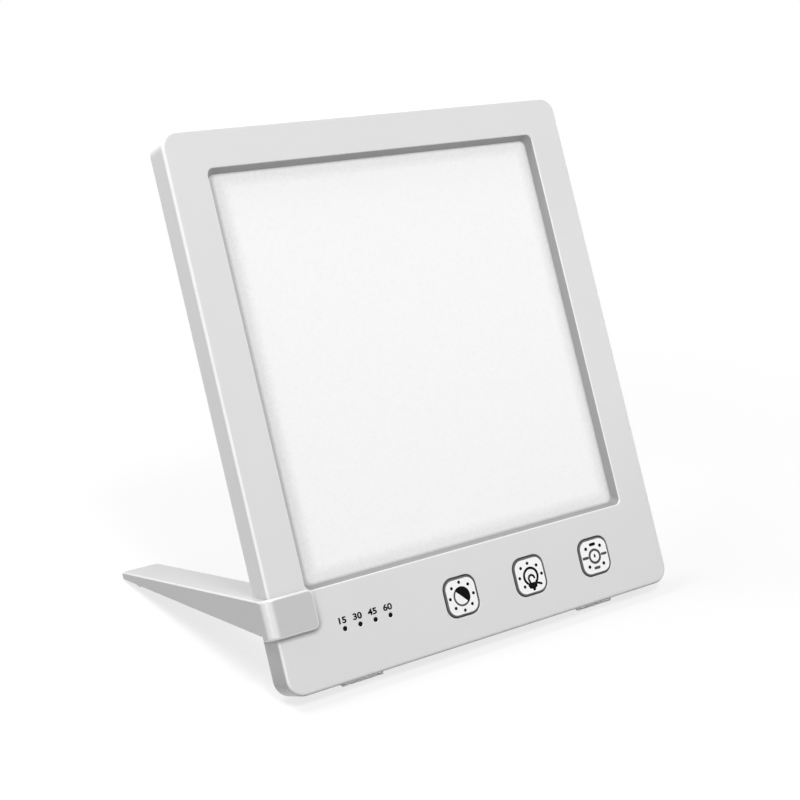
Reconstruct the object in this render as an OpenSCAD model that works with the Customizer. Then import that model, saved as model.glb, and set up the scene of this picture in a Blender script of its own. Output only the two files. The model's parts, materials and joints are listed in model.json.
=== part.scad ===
// Light panel that leans back on one clip-on foot.
// Every piece is drawn with the panel lying on its back: X to the right, Y up the panel and Z out
// of the window, with the frame's front face at Z = 0. stand() then leans it back on its foot.

/* [Panel] */
// Width of the panel
panel_w = 200; // [185:1:240]
// Height of the panel
panel_h = 230; // [200:1:280]
// Thickness of the panel
panel_t = 13.3; // [13.2:0.1:16]
// Corner radius, seen from the front
corner_r = 7.5; // [5:0.5:11]
// Rounding of the front edge
front_edge_r = 1.3; // [0.6:0.1:1.7]
// Rounding of the back edge
back_edge_r = 1; // [0.4:0.1:1.4]
// Front wall of the housing
front_wall = 2; // [1.8:0.1:2.4]
// Side wall of the housing
side_wall = 3; // [2.7:0.1:3.4]
// Thickness of the back cover
cover_t = 2; // [1.8:0.1:2.1]
// Wall left round the back cover
rim_wall = 1.8; // [1.6:0.1:2.2]
// Angle that the panel leans back
lean = 24.5; // [18:0.5:30]

/* [Window] */
// Frame beside the window, left and right
border_side = 17; // [16.5:0.5:22]
// Frame above the window
border_top = 16.7; // [16.3:0.1:22]
// Frame below the window, which holds the keys
border_bottom = 39.3; // [38.8:0.1:46]
// Depth from the frame's face to the diffuser
recess = 3.9; // [3.4:0.1:4.3]
// How far each window wall slopes in over that depth
window_draft = 1.7; // [0.8:0.1:2]
// Corner radius of the window
window_r = 3; // [2:0.5:6]
// Chamfer round the window's front edge
window_chamfer = 0.4; // [0.2:0.1:0.8]
// How far the diffuser goes under the lip
lap = 3.5; // [3.2:0.1:4]

/* [Keys] */
// Width of a key's opening
key_opening = 17; // [15:0.5:19]
// Corner radius of a key's opening
key_corner_r = 5; // [3.5:0.5:6.5]
// Gap round a key
key_gap = 0.4; // [0.3:0.05:0.6]
// How far a key stands out of the frame
key_proud = 0.3; // [0:0.1:0.8]
// How far a key goes in
key_travel = 0.5; // [0.2:0.1:0.6]
// Distance between keys
key_pitch = 36.7; // [32:0.1:37]
// Centre of the first key from the left edge
key_first = 87.8; // [80:0.1:92]
// Height of the keys' centres
key_y = 20; // [18.5:0.5:20.5]

/* [Indicators] */
// Number of indicators
lens_count = 4; // [2:1:4]
// Diameter of an indicator's hole
lens_hole = 2; // [1.6:0.1:2.6]
// Distance between indicators
lens_pitch = 7.3; // [6.5:0.1:7.5]
// First indicator from the left edge
lens_first = 30.4; // [29:0.1:31]
// Height of the indicators
lens_y = 21; // [19:0.5:22]

/* [Light stack] */
// Thickness of the diffuser
diffuser_t = 2; // [1.5:0.1:2.3]
// Thickness of the prism film
film_t = 0.3; // [0.2:0.05:0.4]
// Thickness of the light guide
guide_t = 3; // [2.6:0.1:3.2]
// Thickness of the reflector
reflector_t = 0.3; // [0.2:0.05:0.4]
// Thickness of the tray's sheet
tray_t = 0.8; // [0.6:0.1:1]
// Thickness of an LED board
led_board_t = 1; // [0.8:0.1:1.2]
// LEDs on each board
led_count = 34; // [12:2:36]
// Length of an LED along its board
led_l = 3; // [2:0.1:3.2]
// Width of an LED
led_w = 2.4; // [2:0.1:2.5]
// Height of an LED off its board
led_h = 0.8; // [0.6:0.1:1]

/* [Main board] */
// Height of the main board
board_h = 26; // [25:0.5:27]
// Thickness of the main board
board_t = 1.6; // [1.2:0.1:1.6]
// Side of a tact switch
switch_side = 6; // [5:0.5:7]
// Height of a tact switch without its plunger
switch_h = 3; // [2.6:0.1:3.2]
// Diameter of a switch's plunger
plunger_d = 3.4; // [2.8:0.1:3.8]
// Diameter of a lead
lead_d = 0.9; // [0.7:0.1:1]

/* [Power jack] */
// Bore of the jack
jack_bore = 6.3; // [5.6:0.1:6.4]
// Diameter of the jack's centre pin
jack_pin_d = 2; // [1.3:0.1:2.5]
// Diameter of the jack's round nose
jack_nose_d = 7.8; // [7.4:0.1:8.2]
// Depth of the jack's bore
jack_depth = 9.5; // [9:0.1:10]
// Height of the jack above the panel's lower edge
jack_y = 19; // [18:0.5:20]

/* [Fasteners] */
// Diameter of a case screw
case_screw_d = 2.2; // [2:0.1:2.6]
// Diameter of a board or tray screw
small_screw_d = 1.8; // [1.6:0.1:2]

/* [Clip-on foot] */
// Bottom of the clip above the panel's lower edge
grip_y = 24.3; // [20:0.1:60]
// Height of the clip
jaw_h = 16.2; // [13:0.1:22]
// How far the front finger reaches over the frame
finger_reach = 18.8; // [17:0.1:26]
// Thickness of the front finger
finger_t = 2.35; // [2:0.05:3.2]
// Thickness of the strap round the panel's side
strap_t = 3.25; // [2.6:0.05:4.5]
// Gap between the clip and the panel
slot_gap = 0.15; // [0.12:0.01:0.2]
// Outer radius where the finger turns into the strap
turn_r = 5.4; // [3:0.1:5.4]
// Bevel round the finger's face
finger_bevel = 1.2; // [0.6:0.1:1.6]
// Radius of the finger's free corners
finger_corner_r = 2.5; // [2:0.1:5]
// Distance from the frame's face to the tip
leg_reach = 139.5; // [125:0.5:150]
// Width of the leg
leg_w = 17.6; // [15:0.1:22]
// Height of the leg at its tip
tip_h = 3.7; // [3.4:0.1:6]
// Rounding of the leg's long edges
leg_edge_r = 0.9; // [0.5:0.1:1.1]
// Wall of the leg's hollow underside
leg_wall = 2; // [1.6:0.1:2.6]
// Ribs across that hollow
leg_ribs = 5; // [5:1:8]

/* [Rubber parts] */
// How far the rubber stands below the plastic
rubber_lift = 0.5; // [0.3:0.1:0.9]
// Length of a rubber foot
rubber_foot_l = 20; // [12:1:30]
// Width of a rubber foot
rubber_foot_w = 4; // [3:0.5:5]
// Distance of a rubber foot from the panel's side
rubber_foot_inset = 28; // [20:1:40]
// Thickness of a grip pad
grip_pad_t = 0.8; // [0.6:0.1:1.2]

/* [Hidden] */
$fn = 48;

// Colours
grey_housing = "#dadada";
grey_foot = "#c9c9c9";
white_key = "#f5f5f5";
opal = "#f8f8f8";
smoked = "#202124";
aluminium = "#b9bdc2";
steel = "#8f9398";
board_green = "#2f6b4a";
board_white = "#eef0ee";
rubber = "#d6d6d3";

// Clearances and small sizes
eps = 0.01;
cut = 1;
cover_gap = 0.15;
stack_gap = 0.3;
seat_gap = 0.1;
hole_gap = 0.2;
run_gap = 0.08;
hull_fn = 32;
round_steps = 4;
rib_t = 1.2;

// Levels below the frame's face, front to back
diffuser_z = -recess;
film_z = diffuser_z - diffuser_t;
guide_z = film_z - film_t;
reflector_z = guide_z - guide_t;
tray_z = reflector_z - reflector_t;
tray_back_z = tray_z - tray_t;
cover_z = -panel_t + cover_t;

// Keys, from the face down to the board
flange_gap = 0.1;
flange_t = 0.8;
flange_lap = 1;
stem_l = 0.7;
plunger_out = 0.9;
plunger_in = 1.6;
flange_z = -front_wall - flange_gap;
stem_z = flange_z - flange_t;
plunger_z = stem_z - stem_l;
switch_z = plunger_z - plunger_out;
board_z = switch_z - switch_h;
board_back_z = board_z - board_t;
key_size = key_opening - 2 * key_gap;
key_edge_r = 0.5;

// Window and stack, seen from the front
window_low = [border_side, border_bottom];
window_high = [panel_w - border_side, panel_h - border_top];
draft = [window_draft, window_draft];
stack_low = window_low + draft - [lap, lap];
stack_high = window_high - draft + [lap, lap];
lip_w = 3;
stack_r = 2;
cover_rib_inset = 10;

// LED boards stand on edge beside the light guide
led_face_x = stack_low.x - stack_gap - led_h;
led_back_x = led_face_x - led_board_t;
flange_x = led_back_x - tray_t;
rib_x = flange_x - stack_gap;
rib_inset = 8;
tray_lip = 1.6;
led_end = 2.5;
led_row_l = stack_high.y - stack_low.y - 2 * led_end;
led_pitch = led_row_l / led_count;

// Main board
board_x0 = 21.5;
board_end_gap = 8;
board_x1 = panel_w - board_end_gap;
board_y0 = key_y - board_h / 2;
board_y1 = board_y0 + board_h;
post_r = 2.4;
post_inset = 4;
boss_notch = 0.4;
chip = [10, 4, 1.5];
chip_legs = 8;
chip_pitch = 1.27;
chip_leg = [0.4, 1, 0.6];
chip_gap = 1.3;
transistor = [6.4, 6, 2.3];
transistor_tab = [5.2, 1.2, 0.5];
transistor_shift = 3;
coil_side = 7;
coil_flange_t = 0.9;
coil_d = 6.4;
coil_h = 2.4;
coil_inset = 0.7;
can_side = 6;
can_base_t = 0.8;
can_d = 5.4;
can_h = 3.6;
can_inset = 5;
driver_x = key_first - 0.56 * key_pitch;
coil_at = [driver_x, board_y1 - coil_side / 2 - coil_inset];
chip_at = [driver_x, coil_at.y - coil_side / 2 - chip_gap - chip_leg.y - chip.y / 2];
can_at = [for (x = [key_first - 0.92 * key_pitch, driver_x]) [x, board_y0 + can_inset]];
switch_leg = [0.6, 0.7, 1.4];
header_l = 6;
header_w = 5.4;
header_h = 3.6;
plug_l = 5;
header_inset = 0.3;
header_y = board_y1 - header_w / 2 - header_inset;
lead_pitch = 1.1;
lead_z = board_z + header_h / 2;
lead_top_z = lead_z + lead_pitch + lead_d / 2;
led_board_w = lead_top_z + seat_gap - tray_z;
lead_x = led_back_x + led_board_t / 2;
plug_seat = 0.5;
plug_x = board_x0 + plug_seat - plug_l;
plug_side = 0.4;
plug_top = 0.2;
lead_bend_r = 2;

// Jack
jack_w = 9;
jack_h = 8;
jack_z = -panel_t / 2;
jack_back = 1.2;
jack_x0 = panel_w - jack_depth - jack_back;
jack_x1 = panel_w - side_wall;
jack_ear = 1.4;
jack_ear_h = 1;
jack_pin_sink = 1.5;
jack_pin_nose = 0.4;
jack_shank_d = jack_pin_d + 0.8;

// Case screws
boss_r = 2.7;
boss_x = side_wall + boss_r + 1.1;
case_screw_l = 6.5;
case_head_d = 4.4;
case_head_h = 1;
case_sink = 1.2;
boss_y = boss_x + 0.6;
case_points = [for (y = [boss_y, panel_h / 2, panel_h - boss_y], x = [boss_x, panel_w - boss_x]) [x, y]];

// Tray screws, in ears beside the LED boards
ear_w = 7;
ear_relief = 1;
ear_r = 2.4;
ear_ys = [stack_low.y + 0.2 * (stack_high.y - stack_low.y), stack_low.y + 0.8 * (stack_high.y - stack_low.y)];
ear_points = [for (y = ear_ys, x = [boss_x, panel_w - boss_x]) [x, y]];
small_head_d = 3.6;
small_head_h = 0.7;
small_screw_l = 3.6;
screw_tip_gap = 0.4;
screw_hole_gap = 0.4;
slot_w = 0.5;

// Indicators
lens_bar_t = 1.4;
lens_bar_side = 2.6;
lens_sink = 0.15;
indicator_led = [2, 1.2, 0.8];

// Board screws, at the board's left end and between the keys; the jack's nose holds the right end
board_points = [
    [board_x0 + post_inset, board_y0 + post_inset],
    [key_first - 0.75 * key_pitch, board_y0 + post_inset],
    [key_first + 0.5 * key_pitch, board_y1 - post_inset],
    [key_first + 1.5 * key_pitch, board_y0 + post_inset]
];

// Foot, with its leg's bottom running from the clip to the tip
strap_out = slot_gap + strap_t;
finger_out = slot_gap + finger_t;
jaw_back_z = -panel_t - slot_gap;
jaw_top = grip_y + jaw_h;
knee_z = -2;
knee_rise = 1.2;
tip_y = (leg_reach - panel_t) * tan(lean);
leg_x0 = -strap_out;
leg_x1 = leg_x0 + leg_w;
tip_far_r = 3;
core_z0 = jaw_back_z - 5;
core_end_h = tip_h + 2.2;
pad_l = 8;
pad_from_tip = 1.5;
pad_side = 3.4;
pad_depth = 0.8;
pad_z0 = -leg_reach + pad_from_tip;
pad_z1 = pad_z0 + pad_l;
grip_pad_w = 9;
grip_pad_end = 3;
grip_pad_h = jaw_h - 2 * grip_pad_end;
grip_pad_gap = 0.06;
grip_pad_z = jaw_back_z - grip_pad_t + slot_gap - grip_pad_gap;
grip_pad_x = 2;
rubber_depth = 0.8;
slot_r = 0.8;

// Place on the table: the middle of the whole object's footprint is the origin
leg_soft = 0.9 * leg_edge_r;
round_off = sin(lean) + cos(lean) - 1;
front_y = front_edge_r * round_off;
back_y = (tip_y + tip_h) * sin(lean) + leg_reach * cos(lean) - leg_soft * round_off;
mid_x = (panel_w - strap_out) / 2;
mid_y = (front_y + back_y) / 2;
base_z = panel_t * sin(lean) + rubber_lift;

function key_x(i) = key_first + i * key_pitch;
function lens_x(i) = lens_first + i * lens_pitch;
// Height in the panel's own frame of the table's plane at depth z
function table_y(z) = -(base_z + z * sin(lean)) / cos(lean);
// The leg's lower and upper edges at depth z, straight from the knee to the tip
function leg_low(z) = grip_y + knee_rise + (knee_z - z) / (leg_reach + knee_z) * (tip_y - grip_y - knee_rise);
function leg_high(z) = jaw_top + (knee_z - z) / (leg_reach + knee_z) * (tip_y + tip_h - jaw_top);

module stand() translate([-mid_x, -mid_y, base_z]) rotate([90 - lean, 0, 0]) children();

// Flat outline with round corners between two corner points
module round_rect(low, high, r) {
    translate([low.x + r, low.y]) square([high.x - low.x - 2 * r, high.y - low.y]);
    translate([low.x, low.y + r]) square([high.x - low.x, high.y - low.y - 2 * r]);
    for (x = [low.x + r, high.x - r], y = [low.y + r, high.y - r]) translate([x, y]) circle(r);
}

module plate(low, high, r, z_top, t) translate([0, 0, z_top - t]) linear_extrude(t) round_rect(low, high, r);

// Block with round corners whose front and back edges are rounded by their own radii
module soft_block(low, high, r, z_top, z_low, top_r, low_r) {
    hull() for (k = [0:round_steps]) {
        a = 90 * k / round_steps;
        top_in = top_r * (1 - sin(a));
        plate(low + [top_in, top_in], high - [top_in, top_in], r - top_in,
            z_top - top_r * (1 - cos(a)), eps, $fn = hull_fn);
        low_in = low_r * (1 - sin(a));
        plate(low + [low_in, low_in], high - [low_in, low_in], r - low_in,
            z_low + low_r * (1 - cos(a)) + eps, eps, $fn = hull_fn);
    }
}

module screw(d, l, head_d, head_h) {
    difference() {
        cylinder(d = head_d, h = head_h);
        for (a = [0, 90]) rotate(a) translate([-head_d * 0.3, -slot_w / 2, head_h * 0.4])
            cube([head_d * 0.6, slot_w, head_h]);
    }
    translate([0, 0, -l]) cylinder(d = d, h = l + eps);
}

// Housing

// Slanted window opening, wider by its chamfer at the frame's face
module window_cut() {
    wide = [window_chamfer, window_chamfer];
    hull() {
        plate(window_low, window_high, window_r, eps, eps, $fn = hull_fn);
        plate(window_low + draft, window_high - draft, window_r, diffuser_z, eps, $fn = hull_fn);
    }
    hull() {
        plate(window_low - wide, window_high + wide, window_r + window_chamfer, cut, cut, $fn = hull_fn);
        plate(window_low, window_high, window_r, -window_chamfer, eps, $fn = hull_fn);
    }
}

module lip() {
    ring_low = window_low + draft - [lip_w, lip_w];
    ring_high = window_high - draft + [lip_w, lip_w];
    plate(ring_low, ring_high, stack_r, -front_wall + eps, recess - front_wall + eps);
}

module housing_shell() {
    difference() {
        soft_block([0, 0], [panel_w, panel_h], corner_r, 0, -panel_t, front_edge_r, back_edge_r);
        plate([side_wall, side_wall], [panel_w - side_wall, panel_h - side_wall],
            corner_r - side_wall, -front_wall, panel_t);
        plate([rim_wall, rim_wall], [panel_w - rim_wall, panel_h - rim_wall],
            corner_r - rim_wall, cover_z, cover_t + cut);
    }
}

module housing_posts() {
    top = -front_wall + eps;
    for (p = case_points) translate([p.x, p.y, cover_z]) cylinder(r = boss_r, h = top - cover_z);
    for (p = ear_points) translate([p.x, p.y, tray_z]) cylinder(r = ear_r, h = top - tray_z);
    for (p = board_points) translate([p.x, p.y, board_z]) cylinder(r = post_r, h = top - board_z);
}

module housing_pilots() {
    for (p = case_points) translate([p.x, p.y, cover_z - cut])
        cylinder(d = case_screw_d, h = case_screw_l + cut);
    for (p = ear_points) translate([p.x, p.y, tray_z - cut])
        cylinder(d = small_screw_d, h = small_screw_l + cut);
    for (p = board_points) translate([p.x, p.y, board_z - cut])
        cylinder(d = small_screw_d, h = small_screw_l + cut);
}

// Low ribs on four sides that hold the light stack in place
module stack_ribs() {
    rib_h = -front_wall - tray_z - seat_gap;
    rib_z = tray_z + seat_gap;
    size = stack_high - stack_low - 2 * [rib_inset, rib_inset];
    for (x = [rib_x - rib_t, panel_w - rib_x])
        translate([x, stack_low.y + rib_inset, rib_z]) cube([rib_t, size.y, rib_h + eps]);
    for (y = [stack_low.y - stack_gap - rib_t, stack_high.y + stack_gap])
        translate([stack_low.x + rib_inset, y, rib_z]) cube([size.x, rib_t, rib_h + eps]);
}

module foot_pocket(x) {
    translate([x - seat_gap, -cut, -panel_t - cut])
        cube([rubber_foot_l + 2 * seat_gap, rubber_depth + cut, rubber_foot_w + seat_gap + cut]);
}

module front_housing() {
    color(grey_housing) difference() {
        union() {
            housing_shell();
            lip();
            housing_posts();
            stack_ribs();
        }
        window_cut();
        for (i = [0:2]) plate([key_x(i) - key_opening / 2, key_y - key_opening / 2],
            [key_x(i) + key_opening / 2, key_y + key_opening / 2], key_corner_r, cut, front_wall + 2 * cut);
        for (i = [0:lens_count - 1]) translate([lens_x(i), lens_y, -front_wall - cut])
            cylinder(d = lens_hole, h = front_wall + 2 * cut);
        housing_pilots();
        translate([jack_x1 - cut, jack_y, jack_z]) rotate([0, 90, 0])
            cylinder(d = jack_nose_d + 2 * seat_gap, h = side_wall + 2 * cut);
        foot_pocket(rubber_foot_inset);
        foot_pocket(panel_w - rubber_foot_inset - rubber_foot_l);
    }
}

// Back cover, let into the rim, with ribs that stop just short of the tray
module back_cover() {
    edge = rim_wall + cover_gap;
    rib_h = tray_back_z - cover_z - cover_gap;
    stack = stack_high - stack_low;
    rib_xs = [for (k = [1:4]) stack_low.x + k * stack.x / 5];
    rib_ys = [for (k = [0:3]) stack_low.y + cover_rib_inset + k * (stack.y - 2 * cover_rib_inset) / 3];
    color(grey_housing) difference() {
        union() {
            plate([edge, edge], [panel_w - edge, panel_h - edge], corner_r - edge, cover_z, cover_t);
            for (x = rib_xs) translate([x - rib_t / 2, rib_ys[0], cover_z - eps])
                cube([rib_t, rib_ys[3] - rib_ys[0], rib_h + eps]);
            for (y = rib_ys) translate([rib_xs[0] - rib_t / 2, y - rib_t / 2, cover_z - eps])
                cube([rib_xs[3] - rib_xs[0] + rib_t, rib_t, rib_h + eps]);
        }
        for (p = case_points) translate([p.x, p.y, -panel_t - cut]) {
            cylinder(d = case_screw_d + screw_hole_gap, h = cover_t + 2 * cut);
            cylinder(d = case_head_d + screw_hole_gap, h = case_sink + cut);
        }
    }
}

module case_screws() {
    for (p = case_points) color(steel) translate([p.x, p.y, -panel_t + case_sink]) mirror([0, 0, 1])
        screw(case_screw_d, case_screw_l + cover_t - case_sink, case_head_d, case_head_h);
}

// Light stack

module diffuser_plate() color(opal) plate(stack_low, stack_high, stack_r, diffuser_z, diffuser_t);

module prism_film() color("#e9f0f2") plate(stack_low, stack_high, stack_r, film_z, film_t);

module light_guide() color("#dfe9ea") plate(stack_low, stack_high, stack_r, guide_z, guide_t);

module reflector_sheet() color("#fcfcfc") plate(stack_low, stack_high, stack_r, reflector_z, reflector_t);

// Tray of folded sheet: its turned-up sides carry the LED boards and its ears take the screws
module backlight_tray() {
    side_h = diffuser_z - tray_lip - tray_back_z;
    color(aluminium) difference() {
        union() {
            translate([flange_x, stack_low.y, tray_back_z])
                cube([panel_w - 2 * flange_x, stack_high.y - stack_low.y, tray_t]);
            for (x = [flange_x, panel_w - flange_x - tray_t]) difference() {
                translate([x, stack_low.y, tray_back_z]) cube([tray_t, stack_high.y - stack_low.y, side_h]);
                for (y = ear_ys) translate([x - cut, y - ear_w / 2 - ear_relief, tray_z])
                    cube([tray_t + 2 * cut, ear_w + 2 * ear_relief, side_h]);
            }
            for (y = ear_ys) translate([boss_x - ear_w / 2, y - ear_w / 2, tray_back_z])
                cube([panel_w - 2 * boss_x + ear_w, ear_w, tray_t]);
        }
        for (p = ear_points) translate([p.x, p.y, tray_back_z - cut])
            cylinder(d = small_screw_d + screw_hole_gap, h = tray_t + 2 * cut);
    }
}

module tray_screws() {
    for (p = ear_points) color(steel) translate([p.x, p.y, tray_back_z]) mirror([0, 0, 1])
        screw(small_screw_d, small_screw_l + tray_t - screw_tip_gap, small_head_d, small_head_h);
}

module led_board(x) {
    color(board_white) translate([x, stack_low.y, tray_z])
        cube([led_board_t, stack_high.y - stack_low.y, led_board_w]);
}

module led_board_left() led_board(led_back_x);

module led_board_right() led_board(panel_w - led_back_x - led_board_t);

// Every second LED on both boards, starting with the first or the second
module led_row(first) {
    led_z = (guide_z + reflector_z) / 2 - led_w / 2;
    for (k = [first:2:led_count - 1], x = [led_face_x, panel_w - led_face_x - led_h])
        translate([x, stack_low.y + led_end + (k + 0.5) * led_pitch - led_l / 2, led_z])
            cube([led_h, led_l, led_w]);
}

module warm_leds() color("#f2c14e") led_row(0);

module cool_leds() color("#f4ee9a") led_row(1);

// Main board and what it carries

module main_board() {
    color(board_green) difference() {
        translate([board_x0, board_y0, board_back_z]) cube([board_x1 - board_x0, board_h, board_t]);
        for (p = board_points) translate([p.x, p.y, board_back_z - cut])
            cylinder(d = small_screw_d + screw_hole_gap, h = board_t + 2 * cut);
        translate([jack_x0 - hole_gap, jack_y - jack_w / 2 - hole_gap, board_back_z - cut])
            cube([board_x1 - jack_x0 + cut, jack_w + 2 * hole_gap, board_t + 2 * cut]);
        for (p = case_points) translate([p.x, p.y, board_back_z - cut])
            cylinder(r = boss_r + boss_notch, h = board_t + 2 * cut);
    }
}

module board_screws() {
    for (p = board_points) color(steel) translate([p.x, p.y, board_back_z]) mirror([0, 0, 1])
        screw(small_screw_d, small_screw_l + board_t - screw_tip_gap, small_head_d, small_head_h);
}

// Chip with rows of legs on its two long sides
module control_chip() {
    color(smoked) translate([chip_at.x - chip.x / 2, chip_at.y - chip.y / 2, board_z + seat_gap]) cube(chip);
    color(steel) for (k = [0:chip_legs - 1], side = [-1, 1])
        translate([chip_at.x + (k - (chip_legs - 1) / 2) * chip_pitch - chip_leg.x / 2,
            chip_at.y + side * (chip.y + chip_leg.y) / 2 - chip_leg.y / 2, board_z])
            cube(chip_leg);
}

module driver_transistors() {
    for (i = [0, 1]) translate([key_x(i + 0.5), key_y + (2 * i - 1) * transistor_shift, board_z]) {
        color(smoked) translate([-transistor.x / 2, -transistor.y / 2, 0]) cube(transistor);
        color(steel) translate([-transistor_tab.x / 2, transistor.y / 2, 0]) cube(transistor_tab);
    }
}

// Drum of wound wire between two square flanges
module inductor() {
    translate([coil_at.x, coil_at.y, board_z]) {
        color(smoked) for (z = [0, coil_flange_t + coil_h])
            translate([-coil_side / 2, -coil_side / 2, z]) cube([coil_side, coil_side, coil_flange_t]);
        color("#6b4a3a") cylinder(d = coil_d, h = 2 * coil_flange_t + coil_h - eps);
    }
}

module capacitors() {
    for (p = can_at) translate([p.x, p.y, board_z]) {
        color(smoked) translate([-can_side / 2, -can_side / 2, 0]) cube([can_side, can_side, can_base_t]);
        color(aluminium) translate([0, 0, can_base_t - eps]) cylinder(d = can_d, h = can_h);
    }
}

module switch_bodies() {
    for (i = [0:2]) translate([key_x(i), key_y, 0]) color(smoked) difference() {
        union() {
            translate([-switch_side / 2, -switch_side / 2, board_z])
                cube([switch_side, switch_side, switch_h]);
            for (x = [-1, 1], y = [-1, 1])
                translate([x * (switch_side + switch_leg.x) / 2 - switch_leg.x / 2,
                    y * switch_side * 0.36 - switch_leg.y / 2, board_z])
                    cube(switch_leg);
        }
        translate([0, 0, switch_z - plunger_in - key_travel - hole_gap])
            cylinder(d = plunger_d + 2 * run_gap, h = plunger_in + key_travel + hole_gap + cut);
    }
}

module plunger(i) {
    color("#2f3033") translate([key_x(i), key_y, switch_z - plunger_in])
        cylinder(d = plunger_d, h = plunger_in + plunger_out);
}

module brightness_plunger() plunger(0);

module colour_plunger() plunger(1);

module timer_plunger() plunger(2);

// Key cap with the flange that keeps it behind the frame and the stem that meets its plunger
module key_cap(i) {
    at = [key_x(i), key_y];
    half = [key_size / 2, key_size / 2];
    rim = half + [key_gap + flange_lap, key_gap + flange_lap];
    color(white_key) {
        soft_block(at - half, at + half, key_corner_r - key_gap, key_proud, flange_z - eps, key_edge_r, eps);
        plate(at - rim, at + rim, key_corner_r + flange_lap, flange_z, flange_t);
        translate([at.x, at.y, plunger_z]) cylinder(d = plunger_d + 1, h = stem_l + eps);
    }
}

module brightness_key() key_cap(0);

module colour_key() key_cap(1);

module timer_key() key_cap(2);

// Indicators

module indicator_leds() {
    for (i = [0:lens_count - 1]) color("#f4f4ea")
        translate([lens_x(i) - indicator_led.x / 2, lens_y - indicator_led.y / 2, board_z])
            cube(indicator_led);
}

// Bar behind the frame with a pin up through each hole and a leg down to each LED
module indicator_lenses() {
    leg_z = board_z + indicator_led.z + seat_gap;
    color(smoked) {
        translate([lens_x(0) - lens_bar_side, lens_y - lens_bar_side, -front_wall - lens_bar_t])
            cube([lens_x(lens_count - 1) - lens_x(0) + 2 * lens_bar_side, 2 * lens_bar_side, lens_bar_t]);
        for (i = [0:lens_count - 1]) translate([lens_x(i), lens_y, leg_z])
            cylinder(d = lens_hole - seat_gap, h = -lens_sink - leg_z);
    }
}

// Power jack, let into the end of the main board

module dc_jack() {
    color(smoked) difference() {
        union() {
            translate([jack_x0, jack_y - jack_w / 2, jack_z - jack_h / 2])
                cube([jack_x1 - jack_x0, jack_w, jack_h]);
            translate([jack_x0, jack_y - jack_w / 2 - jack_ear, board_z])
                cube([board_x1 - jack_x0 - boss_notch, jack_w + 2 * jack_ear, jack_ear_h]);
            translate([jack_x1 - eps, jack_y, jack_z]) rotate([0, 90, 0])
                cylinder(d = jack_nose_d, h = side_wall - seat_gap + eps);
        }
        translate([panel_w - jack_depth, jack_y, jack_z]) rotate([0, 90, 0])
            cylinder(d = jack_bore, h = jack_depth + cut);
        translate([jack_x0 - cut, jack_y, jack_z]) rotate([0, 90, 0])
            cylinder(d = jack_shank_d, h = jack_back + 2 * cut);
    }
}

// Centre pin on a thicker shank that fills the hole in the jack's back wall
module dc_jack_pin() {
    pin_l = jack_depth - jack_pin_sink;
    color(steel) translate([jack_x0, jack_y, jack_z]) rotate([0, 90, 0]) {
        cylinder(d = jack_shank_d, h = jack_back);
        translate([0, 0, jack_back - eps]) cylinder(d = jack_pin_d, h = pin_l + eps);
        translate([0, 0, jack_back + pin_l - eps])
            cylinder(d1 = jack_pin_d, d2 = jack_pin_d - 2 * jack_pin_nose, h = jack_pin_nose);
    }
}

// Leads from the main board to the LED boards, alike on both sides

module both_sides() {
    children();
    translate([panel_w, 0, 0]) mirror([1, 0, 0]) children();
}

module lead_headers() {
    color(board_white) both_sides()
        translate([plug_x + plug_l, header_y - header_w / 2, board_z]) cube([header_l, header_w, header_h]);
}

module lead_plugs() {
    color("#e2e3df") both_sides()
        translate([plug_x, header_y - header_w / 2 + plug_side, board_z + plug_top])
            cube([plug_l, header_w - 2 * plug_side, header_h - 2 * plug_top]);
}

// One lead: out of the plug, round one bend and up to the end of the LED board
module lead(k) {
    bend_x = lead_x + lead_bend_r;
    bend_y = header_y + lead_bend_r;
    both_sides() translate([0, 0, lead_z + (k - 1) * lead_pitch]) {
        translate([bend_x, header_y, 0]) rotate([0, 90, 0]) cylinder(d = lead_d, h = plug_x - bend_x);
        translate([bend_x, bend_y, 0]) rotate(180) rotate_extrude(angle = 90)
            translate([lead_bend_r, 0]) circle(d = lead_d);
        translate([lead_x, bend_y, 0]) rotate([-90, 0, 0]) cylinder(d = lead_d, h = stack_low.y - bend_y);
    }
}

module supply_leads() color("#b8352c") lead(0);

module warm_leads() color("#2b2b2d") lead(1);

module cool_leads() color("#e0e0dc") lead(2);

// Rubber feet: wedges in the lower back edge whose soles lie on the table

module sole_wedge(x, l) {
    front_z = -panel_t + rubber_foot_w;
    translate([x, 0, 0]) rotate([90, 0, 90]) linear_extrude(l)
        polygon([[rubber_depth, -panel_t], [rubber_depth, front_z], [table_y(front_z), front_z],
            [table_y(-panel_t), -panel_t]]);
}

module rubber_feet() {
    color(rubber) {
        sole_wedge(rubber_foot_inset, rubber_foot_l);
        sole_wedge(panel_w - rubber_foot_inset - rubber_foot_l, rubber_foot_l);
    }
}

// Clip-on foot

// Round peg with soft ends, which the hulls of the foot are stretched over
module peg(x, z, r, y0, y1, soft) {
    translate([x, y0, z]) rotate([-90, 0, 0]) rotate_extrude($fn = hull_fn) {
        square([r - soft, y1 - y0]);
        translate([0, soft]) square([r, y1 - y0 - 2 * soft]);
        for (y = [soft, y1 - y0 - soft]) intersection() {
            translate([r - soft, y]) circle(soft, $fn = 16);
            square([r, y1 - y0]);
        }
    }
}

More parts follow.
